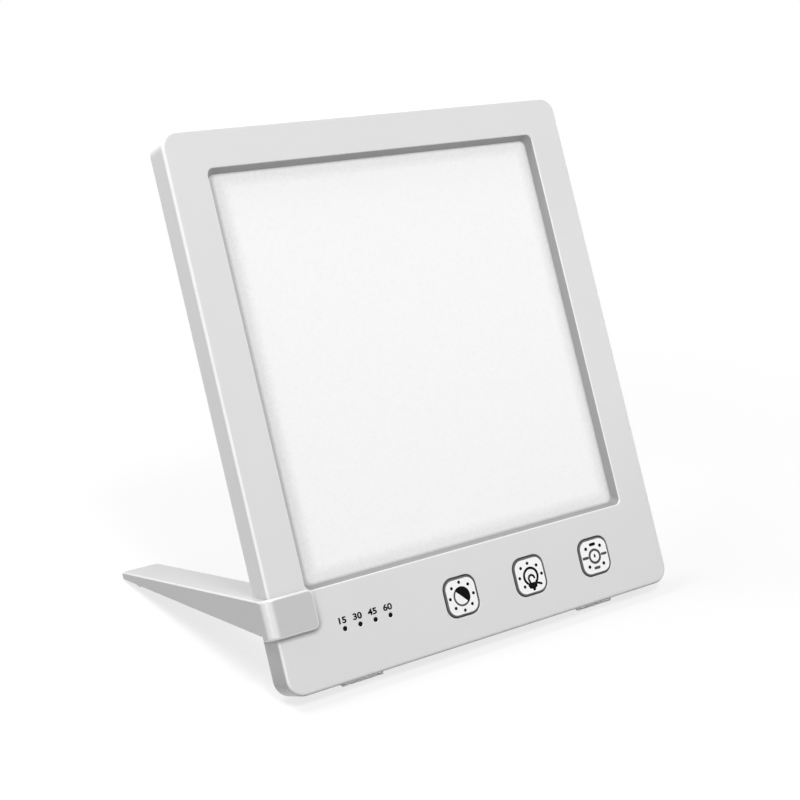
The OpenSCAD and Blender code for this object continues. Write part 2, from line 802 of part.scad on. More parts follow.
// Block of the jaw before the slot is cut: a flat bevelled finger that turns the corner
module jaw_block() {
    free_z = finger_out - finger_bevel;
    hull() {
        peg(-strap_out + turn_r, finger_out - turn_r, turn_r, grip_y, jaw_top, finger_bevel);
        for (k = [0:round_steps]) {
            a = 90 * k / round_steps;
            in = finger_bevel * (1 - sin(a));
            plate([-strap_out + turn_r, grip_y + in], [finger_reach - in, jaw_top - in],
                finger_corner_r - in * 0.8, finger_out - finger_bevel * (1 - cos(a)), eps, $fn = hull_fn);
        }
        plate([-strap_out + turn_r, grip_y], [finger_reach, jaw_top], finger_corner_r, free_z, eps, $fn = hull_fn);
        plate([-strap_out + turn_r, grip_y], [finger_reach, jaw_top], finger_corner_r,
            slot_gap + eps, eps, $fn = hull_fn);
        peg(leg_x0 + leg_edge_r, knee_z - 3, leg_edge_r, grip_y, jaw_top, leg_soft);
    }
}

// Leg: one straight taper from the jaw to the tip
module leg_block() {
    back_z = -leg_reach;
    start_z = knee_z;
    hull() {
        for (x = [leg_x0 + leg_edge_r, leg_x1 - leg_edge_r])
            peg(x, start_z - leg_edge_r, leg_edge_r, leg_low(start_z), leg_high(start_z), leg_soft);
        peg(leg_x0 + leg_edge_r, back_z + leg_edge_r, leg_edge_r, tip_y, tip_y + tip_h, leg_soft);
        peg(leg_x1 - tip_far_r, back_z + tip_far_r, tip_far_r, tip_y, tip_y + tip_h, leg_soft);
    }
}

// Hollow of the leg's underside, with ribs across it
module leg_core() {
    reach_h = leg_high(core_z0) - leg_low(core_z0);
    // depth where the taper has thinned to the least height that is still cored
    core_z1 = core_z0 + (leg_reach + core_z0) * (core_end_h - reach_h) / (reach_h - tip_h);
    pitch = (core_z0 - core_z1) / (leg_ribs + 1);
    difference() {
        translate([leg_x0 + leg_wall, 0, 0]) rotate([90, 0, 90]) linear_extrude(leg_w - 2 * leg_wall)
            polygon([[leg_high(core_z0) - leg_wall, core_z0], [leg_high(core_z1) - leg_wall, core_z1],
                [leg_low(core_z1) - cut, core_z1], [leg_low(core_z0) - cut, core_z0]]);
        for (k = [1:leg_ribs]) translate([leg_x0, 0, core_z0 - k * pitch - rib_t / 2])
            cube([leg_w, panel_h, rib_t]);
    }
}

module slot_cut() {
    translate([0, grip_y - cut, 0]) rotate([-90, 0, 0]) mirror([0, 1, 0]) linear_extrude(panel_h)
        round_rect([-slot_gap, jaw_back_z], [panel_w, slot_gap], slot_r);
}

// Prism under the leg's tip, from two heights at each end: low_y at depth z and the pocket's floor
module tip_prism(grow, low_0, low_1) {
    z0 = pad_z0 - grow;
    z1 = pad_z1 + grow;
    translate([leg_x0 + pad_side - grow, 0, 0]) rotate([90, 0, 90])
        linear_extrude(leg_w - 2 * pad_side + 2 * grow)
            polygon([[leg_low(z0) + pad_depth, z0], [leg_low(z1) + pad_depth, z1], [low_1, z1], [low_0, z0]]);
}

// Shallow seat for a grip pad in the slot's back wall, or the pad itself
module grip_block(grow, h) {
    translate([grip_pad_x - grow, grip_y + grip_pad_end - grow, grip_pad_z])
        cube([grip_pad_w + 2 * grow, grip_pad_h + 2 * grow, h]);
}

module clip_foot() {
    color(grey_foot) difference() {
        union() {
            jaw_block();
            leg_block();
        }
        slot_cut();
        leg_core();
        tip_prism(seat_gap, leg_low(pad_z0) - cut, leg_low(pad_z1) - cut);
        grip_block(seat_gap, grip_pad_t + cut);
    }
}

module grip_pads() color(rubber) grip_block(0, grip_pad_t);

module tip_pad() color(rubber) tip_prism(0, table_y(pad_z0), table_y(pad_z1));

stand() front_housing();
stand() back_cover();
stand() case_screws();
stand() diffuser_plate();
stand() prism_film();
stand() light_guide();
stand() reflector_sheet();
stand() backlight_tray();
stand() tray_screws();
stand() led_board_left();
stand() led_board_right();
stand() warm_leds();
stand() cool_leds();
stand() main_board();
stand() board_screws();
stand() control_chip();
stand() driver_transistors();
stand() inductor();
stand() capacitors();
stand() switch_bodies();
stand() brightness_plunger();
stand() colour_plunger();
stand() timer_plunger();
stand() brightness_key();
stand() colour_key();
stand() timer_key();
stand() indicator_leds();
stand() indicator_lenses();
stand() dc_jack();
stand() dc_jack_pin();
stand() lead_headers();
stand() lead_plugs();
stand() supply_leads();
stand() warm_leads();
stand() cool_leads();
stand() rubber_feet();
stand() clip_foot();
stand() grip_pads();
stand() tip_pad();
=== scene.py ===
"""Light panel that leans back on one clip-on foot, on a plain pale floor in soft studio light.

Every shape is worked out in millimetres with the panel lying on its back: X to the right, Y up the panel and
Z out of the window, with the frame's front face at Z = 0. STAND then carries it to its place on the table.
"""

import json
from math import asin, atan2, cos, degrees, pi, radians, sin, tan, tau

import bmesh
import bpy
from mathutils import Matrix, Vector


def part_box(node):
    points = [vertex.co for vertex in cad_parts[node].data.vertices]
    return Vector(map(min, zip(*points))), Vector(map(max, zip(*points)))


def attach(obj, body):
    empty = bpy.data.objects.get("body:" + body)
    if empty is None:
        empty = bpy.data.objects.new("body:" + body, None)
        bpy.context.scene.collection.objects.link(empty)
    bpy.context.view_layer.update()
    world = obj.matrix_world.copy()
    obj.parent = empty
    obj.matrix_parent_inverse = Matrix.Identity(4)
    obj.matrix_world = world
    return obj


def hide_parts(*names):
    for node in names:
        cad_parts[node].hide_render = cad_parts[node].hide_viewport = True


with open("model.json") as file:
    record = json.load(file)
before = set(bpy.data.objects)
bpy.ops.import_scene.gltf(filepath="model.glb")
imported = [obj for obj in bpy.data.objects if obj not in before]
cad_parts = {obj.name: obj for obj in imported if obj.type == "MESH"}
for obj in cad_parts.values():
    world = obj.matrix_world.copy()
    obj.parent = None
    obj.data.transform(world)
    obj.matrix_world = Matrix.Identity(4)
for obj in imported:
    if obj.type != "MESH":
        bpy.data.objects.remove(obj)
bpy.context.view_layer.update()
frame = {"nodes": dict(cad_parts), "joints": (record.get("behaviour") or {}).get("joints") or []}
scene = bpy.context.scene

# A step of 1 mm both across and up, and the panel's own corner
BOTH = Vector((1, 1))
ORIGIN = Vector((0, 0))

# Panel
PANEL = Vector((200, 230))
PANEL_T = 13.3
CORNER_R = 7.5
FRONT_EDGE_R = 1.3
BACK_EDGE_R = 1.0
FRONT_WALL = 2.0
SIDE_WALL = 3.0
RIM_WALL = 1.8
COVER_Z = 2.0 - PANEL_T
COVER_GAP = 0.15
COVER_EDGE_R = 0.3

# Window and the stack behind it
WINDOW_LOW = Vector((17, 39.3))
WINDOW_HIGH = Vector((183, 213.3))
WINDOW_R = 3.0
WINDOW_EDGE = 0.4
RECESS = 3.9
DRAFT = 1.7 * BOTH
LAP = 3.5 * BOTH
LIP_W = 3.0
STACK_LOW = WINDOW_LOW + DRAFT - LAP
STACK_HIGH = WINDOW_HIGH - DRAFT + LAP
STACK_R = 2.0
STACK_GAP = 0.3
DIFFUSER_T = 2.0
LIGHT_Z = -7.7
TRAY_Z = -9.5
TRAY_BACK_Z = -10.3
RIB_T = 1.2

# Rows of LEDs along the stack's sides
LED_COUNT = 17
LED_SIZE = (0.8, 3.0, 2.4)
LED_INSET = 2.5
LED_PITCH = (STACK_HIGH.y - STACK_LOW.y - 2 * LED_INSET) / (2 * LED_COUNT)

# Keys and indicators
KEYS = {"brightness": 87.8, "colour": 124.5, "timer": 161.2}
KEY_Y = 20.0
KEY_OPENING = 17.0
KEY_CORNER_R = 5.0
KEY_GAP = 0.4
KEY_TOP_Z = 0.3
KEY_EDGE_R = 0.5
KEY_HOLE_EDGE = 0.4
KEY_RIM = 0.25
FLANGE_Z = -2.1
FLANGE_T = 0.8
FLANGE_LAP = 1.0
PLUNGER_Z = -3.6
PLUNGER_D = 3.4
STEM_D = PLUNGER_D + 1
LENS_XS = [30.4, 37.7, 45.0, 52.3]
LENS_Y = 21.0
LENS_HOLE = 2.0
LENS_EDGE = 0.2

# Board, posts and screws
BOARD_Z = -7.5
BOARD_BACK_Z = -9.1
BOSS_R = 2.7
POST_R = 2.4
SIDES = (6.8, PANEL.x - 6.8)
CASE_POINTS = [(x, y) for y in (7.4, PANEL.y / 2, PANEL.y - 7.4) for x in SIDES]
EAR_POINTS = [(x, STACK_LOW.y + share * (STACK_HIGH.y - STACK_LOW.y)) for share in (0.2, 0.8) for x in SIDES]
BOARD_POINTS = [(25.5, 11.0), (60.275, 11.0), (106.15, 29.0), (142.85, 11.0)]
CASE_SCREW_D = 2.2
CASE_PILOT = 6.5
SMALL_SCREW_D = 1.8
SMALL_PILOT = 3.6
HEAD_SEAT = 1.2

# Power jack and rubber feet
JACK = Vector((PANEL.x, 19.0, -PANEL_T / 2))
JACK_HOLE_R = 4.0
POCKET = Vector((20.2, 0.8, 4.1))
POCKET_XS = (27.9, PANEL.x - 27.9 - POCKET.x)

# Clip-on foot
GRIP_Y = 24.3
JAW_TOP = GRIP_Y + 16.2
FINGER_REACH = 18.8
FINGER_OUT = 2.5
STRAP_OUT = 3.4
SLOT_GAP = 0.15
SLOT_R = 0.8
SLOT_REACH = 40
TURN_R = 5.4
BEVEL = 1.2
FINGER_CORNER_R = 2.5
LEG_REACH = 139.5
LEG_W = 17.6
LEG_WALL = 2.0
LEG_RIBS = 5
LEG_EDGE_R = 0.9
LEG_SOFT = 0.9 * LEG_EDGE_R
TIP_H = 3.7
TIP_FAR_R = 3.0
KNEE_Z = -2.0
KNEE_RISE = 1.2
STRAP_BACK_Z = KNEE_Z - 3
GRIP_XS = (1.9, 11.1)
GRIP_INSET = 2.9
GRIP_DEPTH = 0.71
PAD_SIDE = 3.4
PAD_Z = (-138.0, -130.0)
PAD_DEPTH = 0.8
PAD_GAP = 0.1

# The lean is read off the keys' own axis, and the panel's corner off the diffuser's box
MM = 0.001
LEAN = asin(-frame["joints"][0]["axis"][2])
UPRIGHT = pi / 2 - LEAN
low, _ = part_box("diffuser_plate")
CORNER = Vector((
    low.x - STACK_LOW.x * MM,
    low.y - (STACK_LOW.y * sin(LEAN) + RECESS * cos(LEAN)) * MM,
    low.z - (STACK_LOW.y * cos(LEAN) - (RECESS + DIFFUSER_T) * sin(LEAN)) * MM,
))
STAND = Matrix.Translation(CORNER) @ Matrix.Rotation(UPRIGHT, 4, "X") @ Matrix.Scale(MM, 4)
TIP_Y = (LEG_REACH - PANEL_T) * tan(LEAN)


# Materials

# Places of the two colours among a Mix node's inputs
TONE_A, TONE_B = 6, 7


def linear(hex_colour):
    """Linear RGBA of an sRGB hex colour."""
    parts = [int(hex_colour[i:i + 2], 16) / 255 for i in (1, 3, 5)]
    return (*[c / 12.92 if c <= 0.04045 else ((c + 0.055) / 1.055) ** 2.4 for c in parts], 1.0)


def feed(node, inputs):
    """Sets inputs by name or in order: each to a value, a socket, a node's first output or a list of them."""
    for key, value in inputs.items() if isinstance(inputs, dict) else enumerate(inputs):
        for source in value if isinstance(value, list) else [value]:
            if isinstance(source, bpy.types.Node):
                source = next(socket for socket in source.outputs if socket.enabled)
            if isinstance(source, bpy.types.NodeSocket):
                node.id_data.links.new(source, node.inputs[key])
            else:
                node.inputs[key].default_value = source


def add(tree, kind, inputs=(), **settings):
    """Adds a node. A MapRange takes, in order, a value, the range it is in and the range it goes to."""
    family = "ShaderNode" if hasattr(bpy.types, "ShaderNode" + kind) else "GeometryNode"
    node = tree.nodes.new(family + kind)
    for name, value in settings.items():
        setattr(node, name, value)
    feed(node, inputs)
    return node


def per_mm(size):
    """Texture scale at which a feature is that many millimetres across, for coordinates in metres."""
    return 1 / (size * MM)


def surface(name, values):
    """A material with one shader: itself, its tree, its shader and Object coordinates."""
    material = bpy.data.materials.new(name)
    material.use_nodes = True
    tree = material.node_tree
    tree.nodes.clear()
    shader = add(tree, "BsdfPrincipled", values)
    add(tree, "OutputMaterial", {"Surface": shader})
    return material, tree, shader, add(tree, "TexCoord").outputs["Object"]


def finish_with(shader, tones, mask, rough, height, relief_mm, strength):
    """Colour between two tones and roughness between two values by a mask, and relief from a height."""
    tree = shader.id_data
    feed(shader, {
        "Base Color": add(tree, "Mix", {
            "Factor": mask, TONE_A: linear(tones[0]), TONE_B: linear(tones[1])}, data_type="RGBA"),
        "Roughness": add(tree, "MapRange", (mask, 0, 1, *rough)),
        "Normal": add(tree, "Bump", {
            "Height": height, "Distance": relief_mm * MM, "Strength": strength}),
    })


def overlay(shader, share, tone):
    """Lays a tone over the surface's own colour, by a share from 0 to 1."""
    own = shader.inputs["Base Color"].links[0].from_socket
    feed(shader, {"Base Color": add(shader.id_data, "Mix", {
        "Factor": share, TONE_A: own, TONE_B: linear(tone)}, data_type="RGBA")})


def panel_normal(tree):
    """The surface's own direction along the panel's axes."""
    facing = add(tree, "TexCoord").outputs["Normal"]
    turned = add(tree, "Mapping", {"Vector": facing, "Rotation": (-UPRIGHT, 0, 0)}, vector_type="VECTOR")
    return add(tree, "SeparateXYZ", (turned,)).outputs


def panel_place(tree, place, centre):
    """Places along the panel's axes, in metres from a centre given in millimetres."""
    local = add(tree, "Mapping", {
        "Vector": place, "Location": STAND @ centre, "Rotation": (UPRIGHT, 0, 0)}, vector_type="TEXTURE")
    return add(tree, "SeparateXYZ", (local,)).outputs


def side_gaps(tree, axes, half):
    """How far a place is inside a rectangle's sides, in metres; half is half its sizes, in millimetres."""
    gaps = []
    for axis, reach in zip(axes, half):
        size = add(tree, "Math", (axis,), operation="ABSOLUTE")
        gaps.append(add(tree, "Math", (reach * MM, size), operation="SUBTRACT"))
    return gaps


def rub_edges(tree, shader, place, tone, rough):
    """Paints a highlight on rounded edges and corners as a paler tone, and makes them smoother there as wear
    from hands.
    """
    # How nearly the surface looks along one of the axes, where the painted highlight and wear start and where
    # they are full
    start = 0.99
    full = 0.9
    patch_mm = 6.0
    most = 0.0
    for axis in panel_normal(tree):
        size = add(tree, "Math", (axis,), operation="ABSOLUTE")
        most = add(tree, "Math", (size, most), operation="MAXIMUM")
    patch = add(tree, "TexNoise", {"Vector": place, "Scale": per_mm(patch_mm), "Detail": 2.0})
    patchy = add(tree, "MapRange", (patch, 0, 1, 0.75, 1.15))
    edge = add(tree, "MapRange", (most, start, full))
    edge_highlight_and_wear = add(tree, "Math", (edge, patchy), operation="MULTIPLY", use_clamp=True)
    overlay(shader, edge_highlight_and_wear, tone)
    own = shader.inputs["Roughness"].links[0].from_socket
    feed(shader, {"Roughness": add(tree, "Mix", {"Factor": edge_highlight_and_wear, "A": own, "B": rough})})


def soil(tree, shader, place, tone):
    """Painted shade: a shadow line along the clip's finger, most of it below, a darkening low on the sides,
    and on faces that look down.
    """
    overlap = 10.0
    hidden_w = 0.4
    dark_w = 1.1
    shadow_line_w = 2.5
    shadow_above = 0.05
    shadow_below = 0.52
    low_shade_share = 0.68
    underside_shade_share = 0.8
    half = Vector((FINGER_REACH + overlap, JAW_TOP - GRIP_Y)) / 2
    axes = panel_place(tree, place, Vector((half.x - overlap, GRIP_Y + half.y, 0)))
    # Distance from the finger's middle part, round whose corners the painted shadow line runs in arcs
    past = [add(tree, "Math", (gap, 0.0), operation="MINIMUM")
            for gap in side_gaps(tree, axes, half - FINGER_CORNER_R * BOTH)]
    corner = add(tree, "CombineXYZ", past)
    away = add(tree, "VectorMath", (corner,), operation="LENGTH")
    dark_end, shadow_line_end = (FINGER_CORNER_R + dark_w) * MM, (FINGER_CORNER_R + shadow_line_w) * MM
    outside = add(tree, "MapRange", (away, dark_end, shadow_line_end, 1, 0))
    inside = add(tree, "MapRange", (away, (FINGER_CORNER_R - hidden_w) * MM, FINGER_CORNER_R * MM))
    below = add(tree, "MapRange", (axes["Y"], half.y * MM, -half.y * MM, shadow_above, shadow_below))
    line = add(tree, "Math", (outside, inside), operation="MULTIPLY")
    line = add(tree, "Math", (line, below), operation="MULTIPLY")
    # The painted shade deepens from the clip's top down to the panel's foot, on the faces that don't look
    # forward
    facing = panel_normal(tree)
    low = add(tree, "MapRange", (axes["Y"], half.y * MM, (-GRIP_Y - half.y) * MM, 0, low_shade_share))
    front = add(tree, "Math", (facing["Z"],), operation="ABSOLUTE")
    beside = add(tree, "MapRange", (front, 0.7, 0.2))
    film = add(tree, "Math", (low, beside), operation="MULTIPLY")
    # Faces that look down are darker: painted shade underneath
    under = add(tree, "MapRange", (facing["Y"], -0.1, -0.9, 0, underside_shade_share))
    painted_shade = add(tree, "Math", (line, under), operation="MAXIMUM")
    overlay(shader, add(tree, "Math", (painted_shade, film), operation="MAXIMUM"), tone)


def moulded(name, tones, rough, grain_mm, relief_mm, drift_mm=70.0, ior=1.53, shine=0.5, clear=0.0,
            highlit_worn_edges=None, painted_shade_tone=None):
    """Moulded part: the tool's grain as relief, and a slow drift of tone and gloss from the melt's flow."""
    material, tree, shader, place = surface(name, {
        "IOR": ior, "Specular IOR Level": shine, "Transmission Weight": clear})
    drift, grain = [add(tree, "TexNoise", {"Vector": place, "Scale": per_mm(size), "Detail": detail})
                    for size, detail in ((drift_mm, 3.0), (grain_mm, 2.0))]
    finish_with(shader, tones, drift, rough, grain, relief_mm, 0.3)
    if highlit_worn_edges:
        rub_edges(tree, shader, place, *highlit_worn_edges)
    if painted_shade_tone:
        soil(tree, shader, place, painted_shade_tone)
    return material


def drawn(name, tones, rough, line_mm, along, metallic=1.0):
    """Rolled, drawn or turned metal: fine lines that the rolls or the tool left along one axis."""
    material, tree, shader, place = surface(name, {"Metallic": metallic})
    lay = add(tree, "Mapping", {"Vector": place, "Scale": along})
    lines = add(tree, "TexNoise", {"Vector": lay, "Scale": per_mm(line_mm), "Detail": 4.0})
    finish_with(shader, tones, lines, rough, lines, line_mm * 0.1, 0.4)
    return material


# ABS moulded in a spark-eroded tool: satin, with a grain of 0.1 mm, drawn at 0.5 mm so that it shows
# Its rounded edges are paler as painted highlight, and smoother as wear
HOUSING_ABS = moulded("satin_moulded_abs", ("#dddddd", "#d8d8d8"), (0.38, 0.46), 0.5, 0.02,
                      # Darker along the clip's finger, low on the sides and underneath: painted shade
                      highlit_worn_edges=("#f4f4f4", 0.26), painted_shade_tone="#6e6e6e")
# The same ABS from another batch, a shade darker
# Its rounded edges are paler as painted highlight, and smoother as wear
FOOT_ABS = moulded("satin_moulded_abs_foot", ("#c4c4c4", "#bebebe"), (0.36, 0.45), 0.5, 0.02,
                   highlit_worn_edges=("#e8e8e8", 0.26))
# The lip's walls are a darker matt grey: painted shade in the window's recess
RECESS_SHADE_GREY = moulded("matt_grey_recess_painted_shade", ("#a4a4a4", "#9c9c9c"), (0.55, 0.65), 0.3, 0.02)
# White ABS from a polished tool: smoother and glossier than the housing
KEY_ABS = moulded("polished_white_abs", ("#f6f6f6", "#f2f2f2"), (0.26, 0.34), 0.4, 0.006, 9)
# Dark grey round the keys and in their openings, dull and slightly uneven: on the caps' rims a printed
# outline that frames each key with a line, on the caps' sides and the openings' walls painted shade in the
# gaps
KEY_OUTLINE_AND_GAP_SHADE = moulded("dull_dark_key_outline_and_gap_shade", ("#6c6c6c", "#5e5e5e"), (0.5, 0.65), 0.3, 0.008, 4,
                        shine=0.2)
# Pad-printed ink: dense, dull black with a faint mottle where the pad lifted
BLACK_INK, GREY_INK = [
    moulded(f"pad_printed_{colour}_ink", tones, (0.5, 0.65), 0.25, 0.006, 1.5, shine=shine)
    for colour, tones, shine in (
        ("black", ("#050505", "#0c0c0c"), 0.05), ("grey", ("#404040", "#4e4e4e"), 0.2))]
# Smoked acrylic, polished: nearly black, with a clean gloss
SMOKED_ACRYLIC = moulded("polished_smoked_acrylic", ("#040405", "#08080a"), (0.08, 0.14), 0.5, 0.002, 5, 1.49,
                         shine=0.1)
# Natural silicone rubber, moulded: milky, dull and half clear, with dust in its soft skin
SILICONE = moulded("moulded_natural_silicone", ("#f6f6f3", "#ececea"), (0.5, 0.65), 0.4, 0.03, 6, 1.41,
                   clear=0.8)
# Glass-filled nylon, moulded: dull black with a speckle of glass
BLACK_NYLON = moulded("moulded_black_nylon", ("#1d1e21", "#2a2b2e"), (0.4, 0.55), 0.25, 0.02, 0.7)
PALE_NYLON = moulded("moulded_natural_nylon", ("#e4e5e0", "#d9dad3"), (0.4, 0.52), 0.25, 0.02, 3)
# Epoxy moulding compound: matt, slightly brownish black
CHIP_EPOXY = moulded("moulded_chip_epoxy", ("#1c1c1f", "#29292b"), (0.5, 0.65), 0.15, 0.02, 0.8)
# White PET film: even, with a soft silk gloss
WHITE_FILM = moulded("white_polyester_film", ("#fcfcfc", "#f6f6f6"), (0.3, 0.4), 0.4, 0.004, 20, 1.57)
# PVC insulation, extruded: smooth, with the slight waviness of the die
RED_PVC, BLACK_PVC, WHITE_PVC = [
    moulded(f"extruded_{colour}_pvc", tones, (0.34, 0.46), 0.8, 0.02, 6)
    for colour, tones in (("red", ("#b8352c", "#a62d25")), ("black", ("#2b2b2d", "#353538")),
                          ("white", ("#e0e0dc", "#d4d4ce")))]
# Silicone gel with phosphor powder, cast: yellow, with grains of powder
WARM_PHOSPHOR = moulded("cast_warm_phosphor", ("#f2bb45", "#e0a532"), (0.2, 0.3), 0.15, 0.01, 0.3, 1.41)
COOL_PHOSPHOR = moulded("cast_cool_phosphor", ("#f4ee9a", "#e6dd78"), (0.2, 0.3), 0.15, 0.01, 0.3, 1.41)
# Sheet aluminium with the rolls' lines up the tray
ALUMINIUM = drawn("rolled_aluminium_sheet", ("#d3d5d8", "#bcc0c5"), (0.26, 0.4), 0.5, (1, 0.04, 0.04))
# Zinc-plated steel: a soft grey with fine turning lines
ZINC_STEEL = drawn("zinc_plated_steel", ("#a9adb1", "#8f9398"), (0.25, 0.38), 0.2, (1, 1, 0.1))
# Tinned copper legs: pale, slightly crusty
TINNED_COPPER = drawn("tinned_copper", ("#cfd0cf", "#b3b4b3"), (0.28, 0.45), 0.15, (1, 1, 1))
# Nickel over turned brass: warm and bright
NICKEL_BRASS = drawn("nickel_plated_brass", ("#cfc9b8", "#b9b19c"), (0.16, 0.26), 0.2, (1, 0.1, 0.1))
# Enamelled copper wire of 0.25 mm, wound: each turn is one line round the drum
WOUND_COPPER = drawn("wound_enamelled_copper", ("#8a4a26", "#5c2f1a"), (0.22, 0.35), 0.25,
                     (0.02, 0.42, 0.91), 0.8)


def frosted_opal():
    """Cast opal acrylic with a frosted face: white, faintly speckled, and greyer where the lip shades it."""
    material, tree, shader, place = surface("frosted_cast_opal_acrylic", {"IOR": 1.49})
    # The shade's middle is a little to the right, because the lip covers the sheet's left edge from the front
    shift = 0.7
    trim = Vector((-0.1, 0.4))
    corner_blend = 4
    middle = (STACK_LOW + STACK_HIGH) / 2
    axes = panel_place(tree, place, Vector((middle.x + shift, middle.y, -RECESS)))
    gaps = side_gaps(tree, axes, (WINDOW_HIGH - WINDOW_LOW) / 2 - DRAFT + trim)
    nearest = add(tree, "Math", (*gaps, corner_blend * MM), operation="SMOOTH_MIN")
    # Close to the lip a narrow dark line, then a wider, fainter shade
    line_share, wide_share = [
        add(tree, "MapRange", (nearest, start * MM, end * MM, 0, share), interpolation_type="SMOOTHSTEP")
        for start, end, share in ((0.0, 1.8, 0.73), (2.2, 8.5, 0.27))]
    shade = add(tree, "Math", (line_share, wide_share))
    speck = add(tree, "TexNoise", {"Vector": place, "Scale": per_mm(1.4), "Detail": 3.0})
    mottle = add(tree, "MapRange", (speck, 0.35, 0.65, -0.05, 0.05))
    mask = add(tree, "Math", (shade, mottle), use_clamp=True)
    finish_with(shader, ("#bababa", "#f6f6f6"), mask, (0.5, 0.42), speck, 0.02, 0.3)
    return material


def ridged_film():
    """Extruded prism film: rows of prisms, 0.05 mm apart on the real film and drawn 1 mm apart to show."""
    material, tree, shader, place = surface("extruded_prism_film", {"IOR": 1.57})
    wave = add(tree, "TexWave", {
        "Vector": place, "Scale": per_mm(1.0) * tau / 20}, wave_profile="TRI")
    rows = wave.outputs["Fac"]
    finish_with(shader, ("#e9f0f2", "#dde7ea"), rows, (0.12, 0.2), rows, 0.2, 0.5)
    return material


def dotted_guide():
    """Extruded clear acrylic: printed with white dots 1.5 mm apart that send the light forward."""
    material, tree, shader, place = surface("printed_clear_acrylic", {"IOR": 1.49})
    cells = add(tree, "TexVoronoi", {"Vector": place, "Scale": per_mm(1.5), "Randomness": 0.0})
    dots = add(tree, "MapRange", (cells, 0.3, 0.36))
    finish_with(shader, ("#ffffff", "#dbe8ea"), dots, (0.5, 0.08), dots, 0.01, 0.3)
    return material


def solder_mask(name, tones):
    """Sprayed solder mask over etched copper: glossy, and paler along the tracks that stand under it."""
    material, tree, shader, place = surface(name, {"IOR": 1.5})
    cells = add(tree, "TexVoronoi", {
        "Vector": place, "Scale": per_mm(4.0), "Randomness": 0.9}, distance="CHEBYCHEV", feature="F2")
    lanes = add(tree, "Math", (cells, 5.0), operation="MULTIPLY")
    split = add(tree, "Math", (lanes,), operation="FRACT")
    track = add(tree, "MapRange", (split, 0.45, 0.55))
    finish_with(shader, tones, track, (0.34, 0.26), track, 0.035, 0.5)
    return material


OPAL_ACRYLIC = frosted_opal()
PRISM_FILM = ridged_film()
GUIDE_ACRYLIC = dotted_guide()
GREEN_MASK = solder_mask("green_solder_mask", ("#2b6446", "#37785a"))
WHITE_MASK = solder_mask("white_solder_mask", ("#eceeec", "#f4f5f2"))


# Shapes

# Points nearer than this are one point
WELD = 0.004


def round_loop(low, high, radius, z, steps):
    """Points round a rectangle with round corners, anticlockwise; every radius gives the same count."""
    radius = max(radius, 0.02)
    centres = [(high.x - radius, low.y + radius), (high.x - radius, high.y - radius),
               (low.x + radius, high.y - radius), (low.x + radius, low.y + radius)]
    return [Vector((x + radius * cos(turn), y + radius * sin(turn), z))
            for corner, (x, y) in enumerate(centres)
            for turn in (pi / 2 * (corner - 1 + k / steps) for k in range(steps + 1))]


def grown_loop(low, high, radius, grow, z, steps):
    """round_loop with each side moved out by grow."""
    return round_loop(low - grow * BOTH, high + grow * BOTH, radius + grow, z, steps)


def circle_loop(at, radius, z, count):
    return [Vector((at[0] + radius * cos(turn), at[1] + radius * sin(turn), z))
            for turn in (2 * pi * k / count for k in range(count))]


def quarter(steps, size=1.0):
    """A quarter round from a flat face to its wall: distance from the wall, and depth."""
    turns = [pi / 2 * k / steps for k in range(steps + 1)]
    return [(size * (1 - sin(turn)), size * (1 - cos(turn))) for turn in turns]


def opening(edge, support, steps):
    """Steps of a hole through the front wall, from the flat face inwards: how much wider it is, and its z."""
    rounded = [(side, -depth) for side, depth in quarter(steps, edge)]
    return [(edge + support, 0)] + rounded + [(0, -FRONT_WALL)]


def skin(bm, loops):
    """Walls from loop to loop. Returns the first and the last ring of vertices."""
    rings = [[bm.verts.new(point) for point in loop] for loop in loops]
    for ring, after in zip(rings, rings[1:]):
        for k in range(len(ring)):
            j = (k + 1) % len(ring)
            bm.faces.new((ring[k], ring[j], after[j], after[k]))
    return rings[0], rings[-1]


def capped(bm, loops):
    """Walls from loop to loop, with a flat face inside the first and the last."""
    for ring in skin(bm, loops):
        bm.faces.new(ring)
    return bm


def flat_face(bm, rings):
    """A flat face inside the first ring, with the other rings as its holes."""
    edges = []
    for ring in rings:
        for pair in zip(ring, ring[1:] + ring[:1]):
            edges.append(bm.edges.get(pair) or bm.edges.new(pair))
    bmesh.ops.triangle_fill(bm, use_beauty=True, edges=edges)


def hull(points):
    bm = bmesh.new()
    for point in points:
        bm.verts.new(point)
    made = bmesh.ops.convex_hull(bm, input=bm.verts)
    inside = [v for v in made["geom_interior"] if isinstance(v, bmesh.types.BMVert)]
    bmesh.ops.delete(bm, geom=inside, context="VERTS")
    return bm


def block(low, high):
    bm = bmesh.new()
    size = Vector(high) - Vector(low)
    middle = Matrix.Translation(Vector(low) + size / 2)
    bmesh.ops.create_cube(bm, matrix=middle @ Matrix.Diagonal((*size, 1)))
    return bm


def prism(outline, x0, x1):
    """A (y, z) outline stretched from x0 to x1."""
    return capped(bmesh.new(), [[Vector((x, y, z)) for y, z in outline] for x in (x0, x1)])


def linked(name, data):
    obj = bpy.data.objects.new(name, data)
    scene.collection.objects.link(obj)
    return obj


def loose_object(name, bm):
    bmesh.ops.remove_doubles(bm, verts=bm.verts, dist=WELD)
    bmesh.ops.recalc_face_normals(bm, faces=bm.faces)
    mesh = bpy.data.meshes.new(name)
    bm.to_mesh(mesh)
    bm.free()
    return linked(name, mesh)


def evaluated_mesh(obj):
    """A new mesh of the shape that an object's modifiers or type give."""
    depsgraph = bpy.context.evaluated_depsgraph_get()
    return bpy.data.meshes.new_from_object(obj.evaluated_get(depsgraph), depsgraph=depsgraph)


def bake(obj):
    """Makes the shape that the modifiers give the object's own mesh."""
    made = evaluated_mesh(obj)
    plain = obj.data
    obj.modifiers.clear()
    obj.data = made
    bpy.data.meshes.remove(plain)
    return obj


